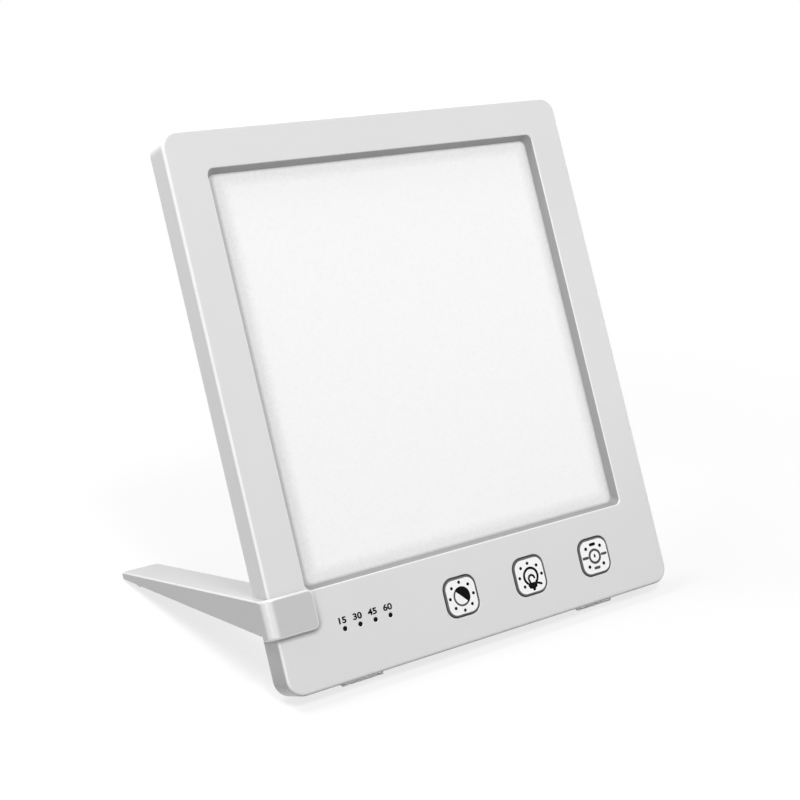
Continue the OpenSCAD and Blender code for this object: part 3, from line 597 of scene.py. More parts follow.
def modify(obj, kind, **settings):
    """Applies one modifier to the object."""
    modifier = obj.modifiers.new("step", kind)
    for name, value in settings.items():
        setattr(modifier, name, value)
    return bake(obj)


def remove(obj):
    mesh = obj.data
    bpy.data.objects.remove(obj)
    bpy.data.meshes.remove(mesh)


def taken(obj):
    """The object's shape, for further work. The object is used up."""
    bm = bmesh.new()
    bm.from_mesh(obj.data)
    remove(obj)
    return bm


def joined(bm, others, operation):
    """The shape with the others added to it or cut from it, in millimetres. All of them are used up."""
    obj = loose_object("shape", bm)
    for other in others:
        tool = loose_object("tool", other)
        modify(obj, "BOOLEAN", operation=operation, solver="EXACT", object=tool)
        remove(tool)
    return taken(obj)


def paint(bm, index, chosen):
    """Gives the faces whose middle is chosen another of the piece's materials."""
    for face in bm.faces:
        if chosen(face.calc_center_median()):
            face.material_index = index


def finish(obj, body, materials, replaced=()):
    """Gives a piece its materials and smooth shading, and lets it ride on its body."""
    for material in materials:
        obj.data.materials.append(material)
    obj.data.shade_smooth()
    obj.data.set_sharp_from_angle(angle=radians(35))
    # Large faces set the shading
    modify(obj, "WEIGHTED_NORMAL", keep_sharp=True)
    obj.data.name = obj.name
    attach(obj, body)
    if replaced:
        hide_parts(*replaced)


def piece(name, bm, body, materials, replaced=(), place=STAND):
    """Stands a shape up in its place and finishes it."""
    obj = loose_object(name, bm)
    obj.data.transform(place)
    finish(obj, body, materials, replaced)


# Front housing

def housing_shell():
    """The housing with its rim, window, lip, openings, posts and ribs, as one closed skin."""
    bm = bmesh.new()
    support = 1.0

    outside = [(FRONT_EDGE_R + support, 0)] + [(side, -depth) for side, depth in quarter(8, FRONT_EDGE_R)]
    outside += [(side, depth - PANEL_T) for side, depth in reversed(quarter(6, BACK_EDGE_R))]
    outside += [(RIM_WALL, -PANEL_T), (RIM_WALL, COVER_Z), (SIDE_WALL, COVER_Z), (SIDE_WALL, -FRONT_WALL)]
    face, ceiling = skin(bm, [grown_loop(ORIGIN, PANEL, CORNER_R, -inset, z, 16) for inset, z in outside])

    slope = DRAFT.x / RECESS
    wall = [(WINDOW_EDGE + support, 0)]
    wall += [(side - slope * depth, -depth) for side, depth in quarter(4, WINDOW_EDGE)]
    wall = [grown_loop(WINDOW_LOW, WINDOW_HIGH, WINDOW_R, grow, z, 16) for grow, z in wall]
    low, high = WINDOW_LOW + DRAFT, WINDOW_HIGH - DRAFT
    wall += [round_loop(low, high, WINDOW_R, -RECESS, 16)]
    wall += [grown_loop(low, high, STACK_R, LIP_W, z, 16) for z in (-RECESS, -FRONT_WALL)]
    window_edge, lip = skin(bm, wall)
    in_face, in_ceiling = [window_edge], [lip]

    half = KEY_OPENING / 2 * BOTH
    holes = []
    for x in KEYS.values():
        at = Vector((x, KEY_Y))
        holes.append([grown_loop(at - half, at + half, KEY_CORNER_R, grow, z, 10)
                      for grow, z in opening(KEY_HOLE_EDGE, 0.5, 4)])
    for x in LENS_XS:
        holes.append([circle_loop((x, LENS_Y), LENS_HOLE / 2 + grow, z, 32)
                      for grow, z in opening(LENS_EDGE, 0.3, 3)])
    for loops in holes:
        top, bottom = skin(bm, loops)
        in_face.append(top)
        in_ceiling.append(bottom)

    posts = [(at, BOSS_R, COVER_Z, CASE_SCREW_D / 2, CASE_PILOT) for at in CASE_POINTS]
    posts += [(at, POST_R, TRAY_Z, SMALL_SCREW_D / 2, SMALL_PILOT) for at in EAR_POINTS]
    posts += [(at, POST_R, BOARD_Z, SMALL_SCREW_D / 2, SMALL_PILOT) for at in BOARD_POINTS]
    for at, radius, end_z, pilot_r, depth in posts:
        rings = [(radius, -FRONT_WALL), (radius, end_z), (pilot_r, end_z), (pilot_r, end_z + depth)]
        root, pilot_end = skin(bm, [circle_loop(at, r, z, 32) for r, z in rings])
        bm.faces.new(pilot_end)
        in_ceiling.append(root)

    # Two upright ribs and two across hold the stack in its place
    short = 8.0
    out = 3.2
    ribs = [((x, STACK_LOW.y + short), (x + RIB_T, STACK_HIGH.y - short))
            for x in (STACK_LOW.x - out - RIB_T, STACK_HIGH.x + out)]
    ribs += [((STACK_LOW.x + short, y), (STACK_HIGH.x - short, y + RIB_T))
             for y in (STACK_LOW.y - STACK_GAP - RIB_T, STACK_HIGH.y + STACK_GAP)]
    for rib_low, rib_high in ribs:
        root, end = skin(bm, [round_loop(Vector(rib_low), Vector(rib_high), 0.1, z, 1)
                              for z in (-FRONT_WALL, TRAY_Z + 0.1)])
        bm.faces.new(end)
        in_ceiling.append(root)

    flat_face(bm, [face] + in_face)
    flat_face(bm, [ceiling] + in_ceiling)
    return bm


def on_bezel(at):
    spare = 0.1
    middle, half = (WINDOW_LOW + WINDOW_HIGH) / 2, (WINDOW_HIGH - WINDOW_LOW) / 2
    across = abs(at.x - middle.x) < half.x + spare and abs(at.y - middle.y) < half.y + spare
    return across and -RECESS + 0.01 < at.z < -WINDOW_EDGE


def in_key_opening(at):
    reach = KEY_OPENING / 2 + 0.05
    near = min(abs(at.x - x) for x in KEYS.values()) < reach and abs(at.y - KEY_Y) < reach
    return near and -FRONT_WALL + 0.01 < at.z < -KEY_HOLE_EDGE


pockets = [block((x, -1, -PANEL_T - 1), (x + POCKET.x, POCKET.y, POCKET.z - PANEL_T)) for x in POCKET_XS]
jack_hole = capped(bmesh.new(), [
    [JACK + Vector((x, p.x, p.y)) for p in circle_loop((0, 0), radius, 0, 64)]
    for x, radius in ((-SIDE_WALL - 1, JACK_HOLE_R), (-0.3, JACK_HOLE_R), (0.7, JACK_HOLE_R + 1))])
housing = joined(housing_shell(), pockets + [jack_hole], "DIFFERENCE")
# The window's recess walls get the darker grey of painted shade
paint(housing, 1, on_bezel)
# The key openings' walls get the dark grey of painted shade in the gaps
paint(housing, 2, in_key_opening)
piece("moulded_front_housing", housing, "panel", [HOUSING_ABS, RECESS_SHADE_GREY, KEY_OUTLINE_AND_GAP_SHADE],
      ["front_housing"])


# Back cover

def cover_plate():
    bm = bmesh.new()
    inset = RIM_WALL + COVER_GAP
    rings = [(inset + COVER_EDGE_R + 1, -PANEL_T)]
    rings += [(inset + side, depth - PANEL_T) for side, depth in quarter(4, COVER_EDGE_R)]
    rings += [(inset, COVER_Z)]
    outer, inner = skin(bm, [grown_loop(ORIGIN, PANEL, CORNER_R, -r, z, 16) for r, z in rings])
    outer, inner = [outer], [inner]
    # Each screw's head sits in a recess, which has a chamfer round it and the shank's hole in its floor
    recess_r = 2.4
    chamfer = 0.25
    shank_r = 1.3
    seat_z = HEAD_SEAT - PANEL_T
    for at in CASE_POINTS:
        hole = [(recess_r + chamfer, -PANEL_T), (recess_r, chamfer - PANEL_T), (recess_r, seat_z),
                (shank_r, seat_z), (shank_r, COVER_Z)]
        low_ring, high_ring = skin(bm, [circle_loop(at, r, z, 48) for r, z in hole])
        outer.append(low_ring)
        inner.append(high_ring)
    flat_face(bm, outer)
    flat_face(bm, inner)
    return bm


def cover_ribs():
    """A grid of ribs that backs the tray."""
    columns = 5
    rows = 3
    inset = 10
    sunk = 0.5
    size = STACK_HIGH - STACK_LOW
    xs = [STACK_LOW.x + k * size.x / columns for k in range(1, columns)]
    ys = [STACK_LOW.y + inset + k * (size.y - 2 * inset) / rows for k in range(rows + 1)]
    z0, z1, t = COVER_Z - sunk, TRAY_BACK_Z - COVER_GAP, RIB_T / 2
    upright = [block((x - t, ys[0] - t, z0), (x + t, ys[-1] + t, z1)) for x in xs]
    across = [block((xs[0] - t, y - t, z0), (xs[-1] + t, y + t, z1)) for y in ys]
    return upright + across


piece("moulded_back_cover", joined(cover_plate(), cover_ribs(), "UNION"), "panel",
      [HOUSING_ABS], ["back_cover"])


# Keys

def key_cap(x):
    """A cap with a flange behind the front wall, and a stem that reaches the switch's plunger."""
    bm = bmesh.new()
    at = Vector((x, KEY_Y))
    half = (KEY_OPENING / 2 - KEY_GAP) * BOTH
    lap = KEY_GAP + FLANGE_LAP
    rings = [(-KEY_EDGE_R - KEY_RIM, KEY_TOP_Z)]
    rings += [(-side, KEY_TOP_Z - depth) for side, depth in quarter(6, KEY_EDGE_R)]
    rings += [(0, FLANGE_Z), (lap, FLANGE_Z), (lap, FLANGE_Z - FLANGE_T)]
    top, under = skin(bm, [grown_loop(at - half, at + half, KEY_CORNER_R - KEY_GAP, grow, z, 10)
                           for grow, z in rings])
    bm.faces.new(top)
    root, end = skin(bm, [circle_loop(at, STEM_D / 2, z, 40)
                          for z in (FLANGE_Z - FLANGE_T, PLUNGER_Z)])
    flat_face(bm, [under, root])
    bm.faces.new(end)
    return bm


# The cap's rim carries the printed outline and its sides the painted shade of the gap. Its top is one face,
# whose middle is the key's, and stays white
TOP_FACE_R = 5
for key, x in KEYS.items():
    cap = key_cap(x)
    paint(cap, 1, lambda at: at.z > FLANGE_Z - 0.01 and (at.xy - Vector((x, KEY_Y))).length > TOP_FACE_R)
    piece(f"{key}_key_cap", cap, f"{key}_button", [KEY_ABS, KEY_OUTLINE_AND_GAP_SHADE], [f"{key}_key"])


# Geometry Nodes

def geometry_tree(name, **inputs):
    """A tree with inputs listed by kind of socket: itself, its inputs' sockets and its last node."""
    tree = bpy.data.node_groups.new(name, "GeometryNodeTree")
    tree.interface.new_socket("Geometry", in_out="OUTPUT", socket_type="NodeSocketGeometry")
    tree.interface.new_socket("Geometry", in_out="INPUT", socket_type="NodeSocketGeometry")
    for kind, labels in inputs.items():
        for label in labels:
            tree.interface.new_socket(label, in_out="INPUT", socket_type=f"NodeSocket{kind}")
    return tree, tree.nodes.new("NodeGroupInput").outputs, tree.nodes.new("NodeGroupOutput")


def moved(tree, shape, axis, distance, **others):
    """A shape moved along one axis, and turned or scaled as well by the other inputs."""
    offset = add(tree, "CombineXYZ", {axis: distance})
    return add(tree, "Transform", {"Geometry": shape, "Translation": offset, **others})


def hand_over(tree, made, copies, material):
    """Makes the copies real, gives them a material and ends the tree with them."""
    real = add(tree, "RealizeInstances", (copies,))
    coat = add(tree, "SetMaterial", {"Geometry": real, "Material": material})
    feed(made, {"Geometry": coat})


def grown(name, tree, values, points=()):
    """An object whose mesh the tree grows from the points, in millimetres."""
    mesh = bpy.data.meshes.new(name)
    mesh.from_pydata(points, [], [])
    obj = linked(name, mesh)
    growth = obj.modifiers.new("growth", "NODES")
    growth.node_group = tree
    for socket in tree.interface.items_tree:
        if socket.in_out == "INPUT" and socket.name in values:
            growth[socket.identifier] = values[socket.name]
    return bake(obj)


def screw_tree():
    """Pan-head screws with a cross recess, one on each point, heads towards the back."""
    tree, given, made = geometry_tree("screw_set", Material=["Metal"], Float=[
        "Head Diameter", "Head Height", "Shank Diameter", "Shank Length", "Recess Width"])
    head_r, crown_r, rim_h, shank_r, sunk, bar_l = [
        add(tree, "Math", (given[size], share), operation="MULTIPLY") for size, share in (
            ("Head Diameter", 0.5), ("Head Diameter", 0.36), ("Head Height", 0.45), ("Shank Diameter", 0.5),
            ("Shank Length", -0.49), ("Head Diameter", 0.58))]
    head_h = given["Head Height"]
    # The head is a short cylinder under a cone that is cut off flat
    rim = add(tree, "MeshCone", {
        "Vertices": 32, "Radius Top": head_r, "Radius Bottom": head_r, "Depth": rim_h})
    dome_h = add(tree, "Math", (head_h, rim_h), operation="SUBTRACT")
    dome = add(tree, "MeshCone", {
        "Vertices": 32, "Side Segments": 3, "Radius Top": crown_r, "Radius Bottom": head_r, "Depth": dome_h})
    shank = add(tree, "MeshCylinder", {
        "Vertices": 24, "Radius": shank_r, "Depth": given["Shank Length"]})
    parts = [rim, moved(tree, dome, "Z", rim_h), moved(tree, shank, "Z", sunk)]
    solid = add(tree, "MeshBoolean", {"Mesh 2": parts}, operation="UNION", solver="EXACT")
    # Two crossed bars make the recess
    bar_size = add(tree, "CombineXYZ", (bar_l, given["Recess Width"], head_h))
    bar = add(tree, "MeshCube", {"Size": bar_size})
    arms = [moved(tree, bar, "Z", head_h, Rotation=(0, 0, turn)) for turn in (0, pi / 2)]
    crossed = add(tree, "MeshBoolean", {
        "Mesh 1": solid, "Mesh 2": arms}, operation="DIFFERENCE", solver="EXACT")
    turned = add(tree, "Transform", {"Geometry": crossed, "Rotation": (pi, 0, 0)})
    spots = add(tree, "MeshToPoints", {"Mesh": given["Geometry"]})
    copies = add(tree, "InstanceOnPoints", {"Points": spots, "Instance": turned})
    hand_over(tree, made, copies, given["Metal"])
    return tree


SCREWS = screw_tree()
for part, points, z, diameter, length, head_d, head_h in (
        ("case", CASE_POINTS, HEAD_SEAT - PANEL_T, CASE_SCREW_D, 7.3, 4.4, 1.0),
        ("tray", EAR_POINTS, TRAY_BACK_Z, SMALL_SCREW_D, 4.0, 3.6, 0.7),
        ("board", BOARD_POINTS, BOARD_BACK_Z, SMALL_SCREW_D, 4.8, 3.6, 0.7)):
    screws = grown(f"pan_head_{part}_screws", SCREWS, {
        "Head Diameter": head_d, "Head Height": head_h, "Shank Diameter": diameter, "Shank Length": length,
        "Recess Width": head_d * 0.16, "Metal": ZINC_STEEL}, [(x, y, z) for x, y in points])
    screws.data.transform(STAND)
    finish(screws, "panel", [], [f"{part}_screws"])


def led_tree():
    """Two facing rows of small LEDs: a white package each, with a window of phosphor let into its face."""
    tree, given, made = geometry_tree("led_rows", Int=["Count"], Material=["Package", "Phosphor"], Vector=[
        "Package Size", "Pitch", "Span"])
    size = given["Package Size"]
    well_size, face_at, gel_at = [
        add(tree, "VectorMath", (size, share), operation="MULTIPLY")
        for share in ((0.4, 0.72, 0.62), (0.5, 0, 0), (0.36, 0, 0))]
    package, well = [add(tree, "MeshCube", {"Size": length}) for length in (size, well_size)]
    hole = add(tree, "Transform", {"Geometry": well, "Translation": face_at})
    hollow = add(tree, "MeshBoolean", {
        "Mesh 1": package, "Mesh 2": hole}, operation="DIFFERENCE", solver="EXACT")
    # The phosphor fills the well nearly to the face
    gel = add(tree, "Transform", {"Geometry": well, "Translation": gel_at, "Scale": (0.5, 0.99, 0.99)})
    led = add(tree, "JoinGeometry", {"Geometry": [
        add(tree, "SetMaterial", {"Geometry": part, "Material": given[label]})
        for part, label in ((hollow, "Package"), (gel, "Phosphor"))]})
    line = add(tree, "MeshLine", {"Count": given["Count"], "Offset": given["Pitch"]})
    row = add(tree, "InstanceOnPoints", {"Points": line, "Instance": led})
    facing = add(tree, "Transform", {"Geometry": row, "Translation": given["Span"], "Rotation": (0, pi, 0)})
    both = add(tree, "JoinGeometry", {"Geometry": [row, facing]})
    feed(made, {"Geometry": add(tree, "RealizeInstances", (both,))})
    return tree


LED_ROWS = led_tree()
led_x = STACK_LOW.x - STACK_GAP - LED_SIZE[0] / 2
for name, first, gel in (("warm", 0.5, WARM_PHOSPHOR), ("cool", 1.5, COOL_PHOSPHOR)):
    rows = grown(f"{name}_led_rows", LED_ROWS, {
        "Count": LED_COUNT, "Package Size": LED_SIZE, "Pitch": (0, 2 * LED_PITCH, 0),
        "Span": (PANEL.x - 2 * led_x, 0, 0), "Package": PALE_NYLON, "Phosphor": gel})
    start = Vector((led_x, STACK_LOW.y + LED_INSET + first * LED_PITCH, LIGHT_Z))
    rows.data.transform(STAND @ Matrix.Translation(start))
    finish(rows, "panel", [], [f"{name}_leds"])


def dot_tree():
    """Flat printed dots on a ring."""
    tree, given, made = geometry_tree("dot_ring", Int=["Count"], Material=["Ink"], Float=[
        "Ring Radius", "Dot Radius", "Thickness"])
    ring = add(tree, "MeshCircle", {"Vertices": given["Count"], "Radius": given["Ring Radius"]})
    dot = add(tree, "MeshCylinder", {
        "Vertices": 28, "Radius": given["Dot Radius"], "Depth": given["Thickness"]})
    dots = add(tree, "InstanceOnPoints", {"Points": ring, "Instance": dot})
    hand_over(tree, made, dots, given["Ink"])
    return tree


# Printed signs: flat films of ink on the keys' faces

DOT_RING = dot_tree()
INK_T = 0.02


def printed_dots(key, count, ring_r, dot_r, turn_deg):
    dots = grown(f"{key}_dots", DOT_RING, {
        "Count": count, "Ring Radius": ring_r, "Dot Radius": dot_r, "Thickness": INK_T, "Ink": BLACK_INK})
    at = Matrix.Translation((KEYS[key], KEY_Y, KEY_TOP_Z + INK_T / 2))
    dots.data.transform(STAND @ at @ Matrix.Rotation(radians(turn_deg), 4, "Z"))
    finish(dots, f"{key}_button", [])


def arc(radius, start_deg, end_deg, steps=40, at=(0, 0)):
    turns = [radians(start_deg + (end_deg - start_deg) * k / steps) for k in range(steps + 1)]
    return [(at[0] + radius * cos(turn), at[1] + radius * sin(turn)) for turn in turns]


def disc(radius, at):
    return arc(radius, 0, 360, 24, at)[:-1]


def band(radius, width, start_deg, end_deg, at=(0, 0)):
    outer, inner = radius + width / 2, radius - width / 2
    return arc(outer, start_deg, end_deg, at=at) + arc(inner, end_deg, start_deg, at=at)


def stroke(start, end, width):
    """A straight stroke with round ends."""
    turn = degrees(atan2(end[1] - start[1], end[0] - start[0]))
    return arc(width / 2, turn - 90, turn + 90, 8, end) + arc(width / 2, turn + 90, turn + 270, 8, start)


def whole_ring(radius, width):
    bm = bmesh.new()
    outer, inner = radius + width / 2, radius - width / 2
    sides = [(outer, 0), (outer, INK_T), (inner, INK_T), (inner, 0), (outer, 0)]
    skin(bm, [circle_loop((0, 0), r, z, 64) for r, z in sides])
    return bm


def printed(key, part, ink, outlines, bm=None):
    """A sign on a key's face: films of ink from their outlines, measured from the key's middle."""
    bm = bmesh.new() if bm is None else bm
    for outline in outlines:
        capped(bm, [[Vector((x, y, z)) for x, y in outline] for z in (0, INK_T)])
    at = Matrix.Translation((KEYS[key], KEY_Y, KEY_TOP_Z))
    piece(f"{key}_{part}", bm, f"{key}_button", [ink], place=STAND @ at)


# Brightness: a disc, half black, in a ring of dots
printed("brightness", "half_disc", BLACK_INK, [arc(4.2, -45, 135, 48)])
printed("brightness", "half_ring", GREY_INK, [band(3.8, 0.8, 134, 316)])
printed_dots("brightness", 8, 6.0, 0.7, 0)

# Light colour: a bulb with its filament, base and cord in a ring of rays
bulb_base = [(-1.8, -3.1), (2.2, -3.1), (2.7, -4.2), (2.4, -5.3), (0.6, -5.9), (-1.5, -5.5), (-2.2, -4.2)]
rays = ((-0.2, 5.5), (-4.1, 4.1), (4.3, 3.7), (-5.8, 0), (6.1, -0.4), (-4.1, -4.1))
printed("colour", "bulb_sign", BLACK_INK, [
    band(3.6, 1.1, -56, 236, (0.2, -0.3)), band(1.5, 0.95, -10, 180, (0.3, -1.35)),
    stroke((-1.2, -1.3), (-0.7, -3.4), 0.95), bulb_base, disc(0.8, (0.6, -6.0)),
    stroke((2.6, -3.6), (4.9, -4.6), 1.0)])
printed("colour", "ray_dots", BLACK_INK, [disc(0.72, ray) for ray in rays])

# Timer: a clock face with one hand, four dots and four marks
printed("timer", "clock_ring", GREY_INK, [], whole_ring(2.9, 1.1))
printed("timer", "hand_and_mark", BLACK_INK, [
    stroke((0, -0.2), (0, 0.5), 0.95), stroke((-1.1, 5.4), (1.1, 5.4), 1.35)])
printed("timer", "marks", GREY_INK, [
    stroke((-1.1, -5.2), (1.1, -5.2), 1.25), stroke((-4.1, 0.1), (-6.4, 0.1), 1.25),
    stroke((4.1, 0.1), (6.4, 0.1), 1.15)])
printed_dots("timer", 4, 5.75, 0.78, 45)

# The minutes in the built-in type, as a thin raised print, a little wide and just above their indicators
TYPE_SIZE = 3.55
TYPE_WEIGHT = 0.13
TYPE_WIDE = 1.22
TYPE_AT = Vector((-0.7, 3.4))
for minutes, x in zip((15, 30, 45, 60), LENS_XS):
    text = bpy.data.curves.new("minutes", "FONT")
    text.body = str(minutes)
    text.size = TYPE_SIZE
    text.align_x = "CENTER"
    text.align_y = "CENTER"
    text.extrude = INK_T / 2
    text.offset = TYPE_WEIGHT
    typed = linked("typed", text)
    number = taken(linked("number", evaluated_mesh(typed)))
    bpy.data.objects.remove(typed)
    bpy.data.curves.remove(text)
    at = Matrix.Translation((x + TYPE_AT.x, LENS_Y + TYPE_AT.y, INK_T / 2))
    piece(f"minutes_{minutes}", number, "panel", [BLACK_INK],
          place=STAND @ at @ Matrix.Diagonal((TYPE_WIDE, 1, 1, 1)))


# Clip-on foot

def peg(x, z, radius, y0, y1, soft):
    """Points of an upright peg with soft ends."""
    rims = quarter(6, soft)
    levels = [(radius - inset, y0 + depth) for inset, depth in rims]
    levels += [(radius - inset, y1 - depth) for inset, depth in rims]
    return [Vector((x + p.x, y, z + p.y)) for r, y in levels for p in circle_loop((0, 0), r, 0, 64)]


def leg_low(z):
    return GRIP_Y + KNEE_RISE + (KNEE_Z - z) / (LEG_REACH + KNEE_Z) * (TIP_Y - GRIP_Y - KNEE_RISE)


def leg_high(z):
    return JAW_TOP + (KNEE_Z - z) / (LEG_REACH + KNEE_Z) * (TIP_Y + TIP_H - JAW_TOP)


def jaw():
    """Flat finger with a rounded bevel that turns the panel's corner into the strap."""
    turn_x = TURN_R - STRAP_OUT
    low, high = Vector((turn_x, GRIP_Y)), Vector((FINGER_REACH, JAW_TOP))
    points = peg(turn_x, FINGER_OUT - TURN_R, TURN_R, GRIP_Y, JAW_TOP, BEVEL)
    for inset, depth in quarter(8, BEVEL):
        points += round_loop(low + Vector((0, inset)), high - inset * BOTH,
                             FINGER_CORNER_R - 0.8 * inset, FINGER_OUT - depth, 12)
    points += round_loop(low, high, FINGER_CORNER_R, SLOT_GAP, 12)
    points += peg(LEG_EDGE_R - STRAP_OUT, STRAP_BACK_Z, LEG_EDGE_R, GRIP_Y, JAW_TOP, LEG_SOFT)
    return hull(points)


def leg():
    """One straight taper from the jaw to the tip."""
    x0, x1 = -STRAP_OUT, LEG_W - STRAP_OUT
    points = []
    for x in (x0 + LEG_EDGE_R, x1 - LEG_EDGE_R):
        points += peg(x, KNEE_Z - LEG_EDGE_R, LEG_EDGE_R, leg_low(KNEE_Z), leg_high(KNEE_Z), LEG_SOFT)
    points += peg(x0 + LEG_EDGE_R, LEG_EDGE_R - LEG_REACH, LEG_EDGE_R, TIP_Y, TIP_Y + TIP_H, LEG_SOFT)
    points += peg(x1 - TIP_FAR_R, TIP_FAR_R - LEG_REACH, TIP_FAR_R, TIP_Y, TIP_Y + TIP_H, LEG_SOFT)
    return hull(points)


def hole_below(z0, z1, top, side):
    """A hole up into the leg between two places along it, as high as top says, with walls of side's width."""
    return prism([(top(z0), z0), (top(z1), z1), (leg_low(z1) - 1, z1), (leg_low(z0) - 1, z0)],
                 side - STRAP_OUT, LEG_W - STRAP_OUT - side)


def leg_hollows():
    """The hollow of the leg's underside, in the lengths that its ribs leave."""
    behind_slot = 5
    start = -PANEL_T - SLOT_GAP - behind_slot
    shallowest = 2.2
    tall = leg_high(start) - leg_low(start)
    end = start + (LEG_REACH + start) * (TIP_H + shallowest - tall) / (tall - TIP_H)
    pitch = (start - end) / (LEG_RIBS + 1)
    cells = []
    for k in range(LEG_RIBS + 1):
        near = start - k * pitch - (RIB_T / 2 if k else 0)
        far = start - (k + 1) * pitch + (RIB_T / 2 if k < LEG_RIBS else 0)
        cells.append(hole_below(near, far, lambda z: leg_high(z) - LEG_WALL, LEG_WALL))
    return cells


tip_pocket = hole_below(PAD_Z[0] - PAD_GAP, PAD_Z[1] + PAD_GAP, lambda z: leg_low(z) + PAD_DEPTH,
                        PAD_SIDE - PAD_GAP)
grip_pocket = block((GRIP_XS[0], GRIP_Y + GRIP_INSET, -PANEL_T - SLOT_GAP - GRIP_DEPTH),
                    (GRIP_XS[1], JAW_TOP - GRIP_INSET, 1 - PANEL_T))
# The slot takes the panel's edge, and has round corners
section = round_loop(Vector((-SLOT_GAP, -PANEL_T - SLOT_GAP)), Vector((SLOT_REACH, SLOT_GAP)), SLOT_R, 0, 8)
slot = capped(bmesh.new(), [[Vector((p.x, y, p.y)) for p in section] for y in (GRIP_Y - 1, JAW_TOP + 1)])
foot = joined(jaw(), [leg()], "UNION")
foot = joined(foot, [slot, tip_pocket, grip_pocket] + leg_hollows(), "DIFFERENCE")
piece("moulded_clip_foot", foot, "foot", [FOOT_ABS], ["clip_foot"])


# Pieces that keep the model's shape, some with their edges softened

def softened(node, name, materials, width_mm, chosen=None, body="panel"):
    """A CAD node's shape with whole flat faces, soft edges, and the chosen faces in the second material."""
    bm = bmesh.new()
    bm.from_mesh(frame["nodes"][node].data)
    bmesh.ops.remove_doubles(bm, verts=bm.verts, dist=1e-6)
    bm.transform(STAND.inverted())
    bmesh.ops.dissolve_limit(bm, angle_limit=radians(1), verts=bm.verts, edges=bm.edges)
    bm = taken(modify(loose_object("shape", bm), "BEVEL", width=width_mm, segments=2, limit_method="ANGLE",
                      angle_limit=radians(40)))
    if chosen:
        paint(bm, 1, chosen)
    piece(name, bm, body, materials, [node])


# Where a small part's second material starts: a height on the board, or a distance from a middle
GEL_H = 0.75
CHIP_HALF = 2.02
TAB_H = 0.52
TAB_END = 3.02
WINDING = (0.92, 3.28)
CAN_H = 0.82
SWITCH_HALF = 3.02

for node, material in (
        ("diffuser_plate", OPAL_ACRYLIC), ("prism_film", PRISM_FILM), ("light_guide", GUIDE_ACRYLIC),
        ("reflector_sheet", WHITE_FILM), ("main_board", GREEN_MASK), ("indicator_lenses", SMOKED_ACRYLIC),
        ("supply_leads", RED_PVC), ("warm_leads", BLACK_PVC), ("cool_leads", WHITE_PVC)):
    for held in frame["nodes"][node].material_slots:
        held.material = material

softened("backlight_tray", "folded_backlight_tray", [ALUMINIUM], 0.15)
softened("rubber_feet", "moulded_rubber_feet", [SILICONE], 0.3)
softened("tip_pad", "moulded_tip_pad", [SILICONE], 0.3, body="foot")
softened("grip_pads", "moulded_grip_pads", [SILICONE], 0.15, body="foot")
for side in ("left", "right"):
    softened(f"led_board_{side}", f"masked_led_board_{side}", [WHITE_MASK], 0.08)
for key in KEYS:
    softened(f"{key}_plunger", f"{key}_switch_plunger", [BLACK_NYLON], 0.2,
             body=f"{key}_button")
softened("dc_jack_pin", "turned_jack_pin", [NICKEL_BRASS], 0.12)
softened("dc_jack", "moulded_power_jack", [BLACK_NYLON], 0.15)
softened("lead_headers", "moulded_lead_headers", [PALE_NYLON], 0.15)
softened("lead_plugs", "moulded_lead_plugs", [PALE_NYLON], 0.2)
softened("indicator_leds", "indicator_led_packages", [PALE_NYLON, WARM_PHOSPHOR],
         0.08, lambda at: at.z > BOARD_Z + GEL_H)
softened("control_chip", "control_chip_and_legs", [CHIP_EPOXY, TINNED_COPPER],
         0.06, lambda at: abs(at.y - KEY_Y - 1) > CHIP_HALF)
softened("driver_transistors", "driver_transistors_and_tabs",
         [CHIP_EPOXY, TINNED_COPPER], 0.1,
         lambda at: at.z < BOARD_Z + TAB_H and at.y + (3 if at.x < KEYS["colour"] else -3) > KEY_Y + TAB_END)
softened("inductor", "wound_inductor", [CHIP_EPOXY, WOUND_COPPER],
         0.12, lambda at: WINDING[0] < at.z - BOARD_Z < WINDING[1])
softened("capacitors", "can_capacitors", [BLACK_NYLON, ALUMINIUM],
         0.12, lambda at: at.z > BOARD_Z + CAN_H)
softened("switch_bodies", "tact_switches", [BLACK_NYLON, TINNED_COPPER],
         0.1, lambda at: min(abs(at.x - x) for x in KEYS.values()) > SWITCH_HALF)


# Camera, light and floor

lens = bpy.data.cameras.new("camera")
lens.sensor_width = 36
lens.lens = 68.85
lens.shift_x = -0.0031
lens.shift_y = 0.0058
camera = linked("camera", lens)
camera.location = (-0.3592, -0.5390, 0.3041)
camera.rotation_euler = (radians(71.59), 0, radians(-34.08))
scene.camera = camera

LIT_POINT = Vector((0, 0, 0.1))
for name, place, size, power in (
        ("front_softbox", (-0.22, -0.85, 1.23), (0.32, 0.32), 9.7),
        ("right_fill", (0.9, -0.9, 0.6), (0.6, 0.6), 3.3),
        ("back_softbox", (-0.35, 0.27, 0.77), (0.4, 0.4), 4.3),
        ("left_strip", (-0.82, -0.45, 0.24), (0.1, 0.3), 0.95),
        ("rear_fill", (0.45, 1.2, 0.16), (0.8, 0.24), 4.5)):
    lamp = bpy.data.lights.new(name, "AREA")
    lamp.energy = power
    lamp.shape = "RECTANGLE"
    lamp.size, lamp.size_y = size
    light = linked(name, lamp)
    light.location = place
    light.rotation_euler = (LIT_POINT - Vector(place)).to_track_quat("-Z", "Y").to_euler()
    # The low lamp at the back lifts the cover, and leaves no highlight along the leg
    light.visible_glossy = name != "rear_fill"


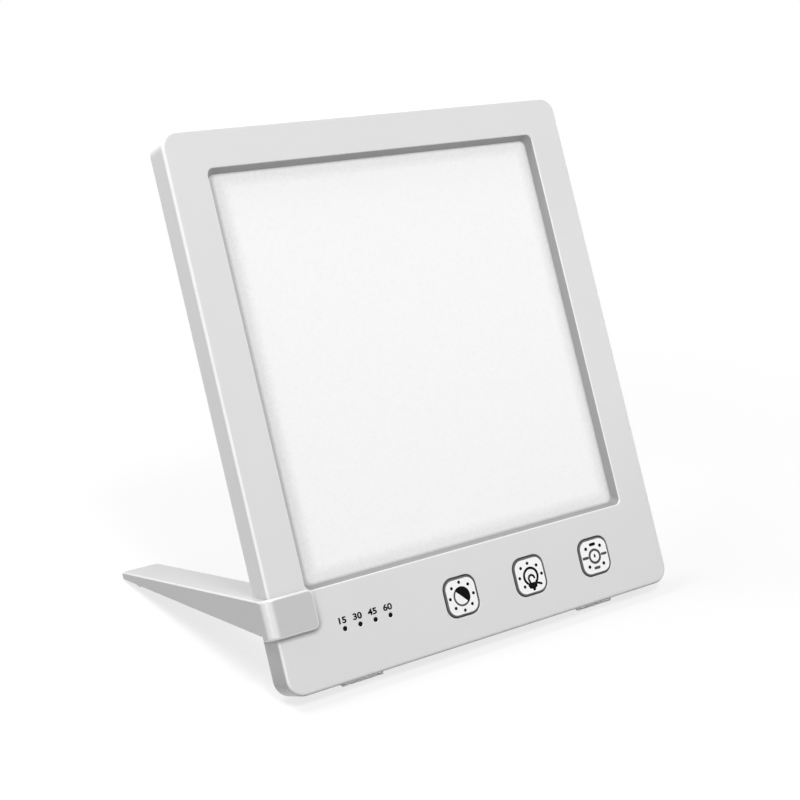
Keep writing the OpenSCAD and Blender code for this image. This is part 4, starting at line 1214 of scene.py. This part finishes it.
def seen_white(tree, share):
    """1 for what is seen in a gloss or through something clear, and share for what the camera sees."""
    ray = add(tree, "LightPath").outputs
    through = add(tree, "Math", (ray["Is Glossy Ray"], ray["Is Transmission Ray"]), operation="MAXIMUM")
    direct = add(tree, "Math", (ray["Is Camera Ray"], share), operation="MULTIPLY")
    return add(tree, "Math", (through, direct), operation="MAXIMUM")


world = bpy.data.worlds.new("studio")
scene.world = world
world.use_nodes = True
tree = world.node_tree
tree.nodes.clear()
# The sky is plain white where it is seen, and lights the object with a quarter of that
level = add(tree, "MapRange", (seen_white(tree, 1), 0, 1, 0.25, 1))
sky = add(tree, "Background", {"Color": (1, 1, 1, 1), "Strength": level})
add(tree, "OutputWorld", {"Surface": sky})


def studio_floor():
    """White paper roll. It shows the object's soft shadow close by, and fades to plain white further out."""
    material, tree, shader, place = surface("matt_white_paper", {"Roughness": 0.95})
    fibre = add(tree, "TexNoise", {"Vector": place, "Scale": per_mm(2.0), "Detail": 2.0})
    paper = add(tree, "Mix", {
        "Factor": fibre, TONE_A: linear("#f4f4f4"), TONE_B: linear("#f8f8f8")}, data_type="RGBA")
    # The paper is darker for the light that it throws back, so that the object isn't lit from below
    feed(shader, {"Base Color": add(tree, "Mix", {
        "Factor": add(tree, "LightPath").outputs["Is Camera Ray"], TONE_A: linear("#b3b3b3"), TONE_B: paper},
        data_type="RGBA")})
    away = add(tree, "VectorMath", (place,), operation="LENGTH")
    share = add(tree, "MapRange", (away, 0.12, 0.5, 0.74, 1), interpolation_type="SMOOTHSTEP")
    white = add(tree, "Emission", {"Strength": 1.0})
    mixed = add(tree, "MixShader", (seen_white(tree, share), shader, white))
    feed(tree.get_output_node("ALL"), {"Surface": mixed})
    return material


reach = 8.0
floor_mesh = bpy.data.meshes.new("floor")
floor_mesh.from_pydata([(-reach, -reach, 0), (reach, -reach, 0), (reach, reach, 0), (-reach, reach, 0)], [],
                       [(0, 1, 2, 3)])
floor_mesh.materials.append(studio_floor())
linked("floor", floor_mesh)

scene.view_settings.view_transform = "Standard"
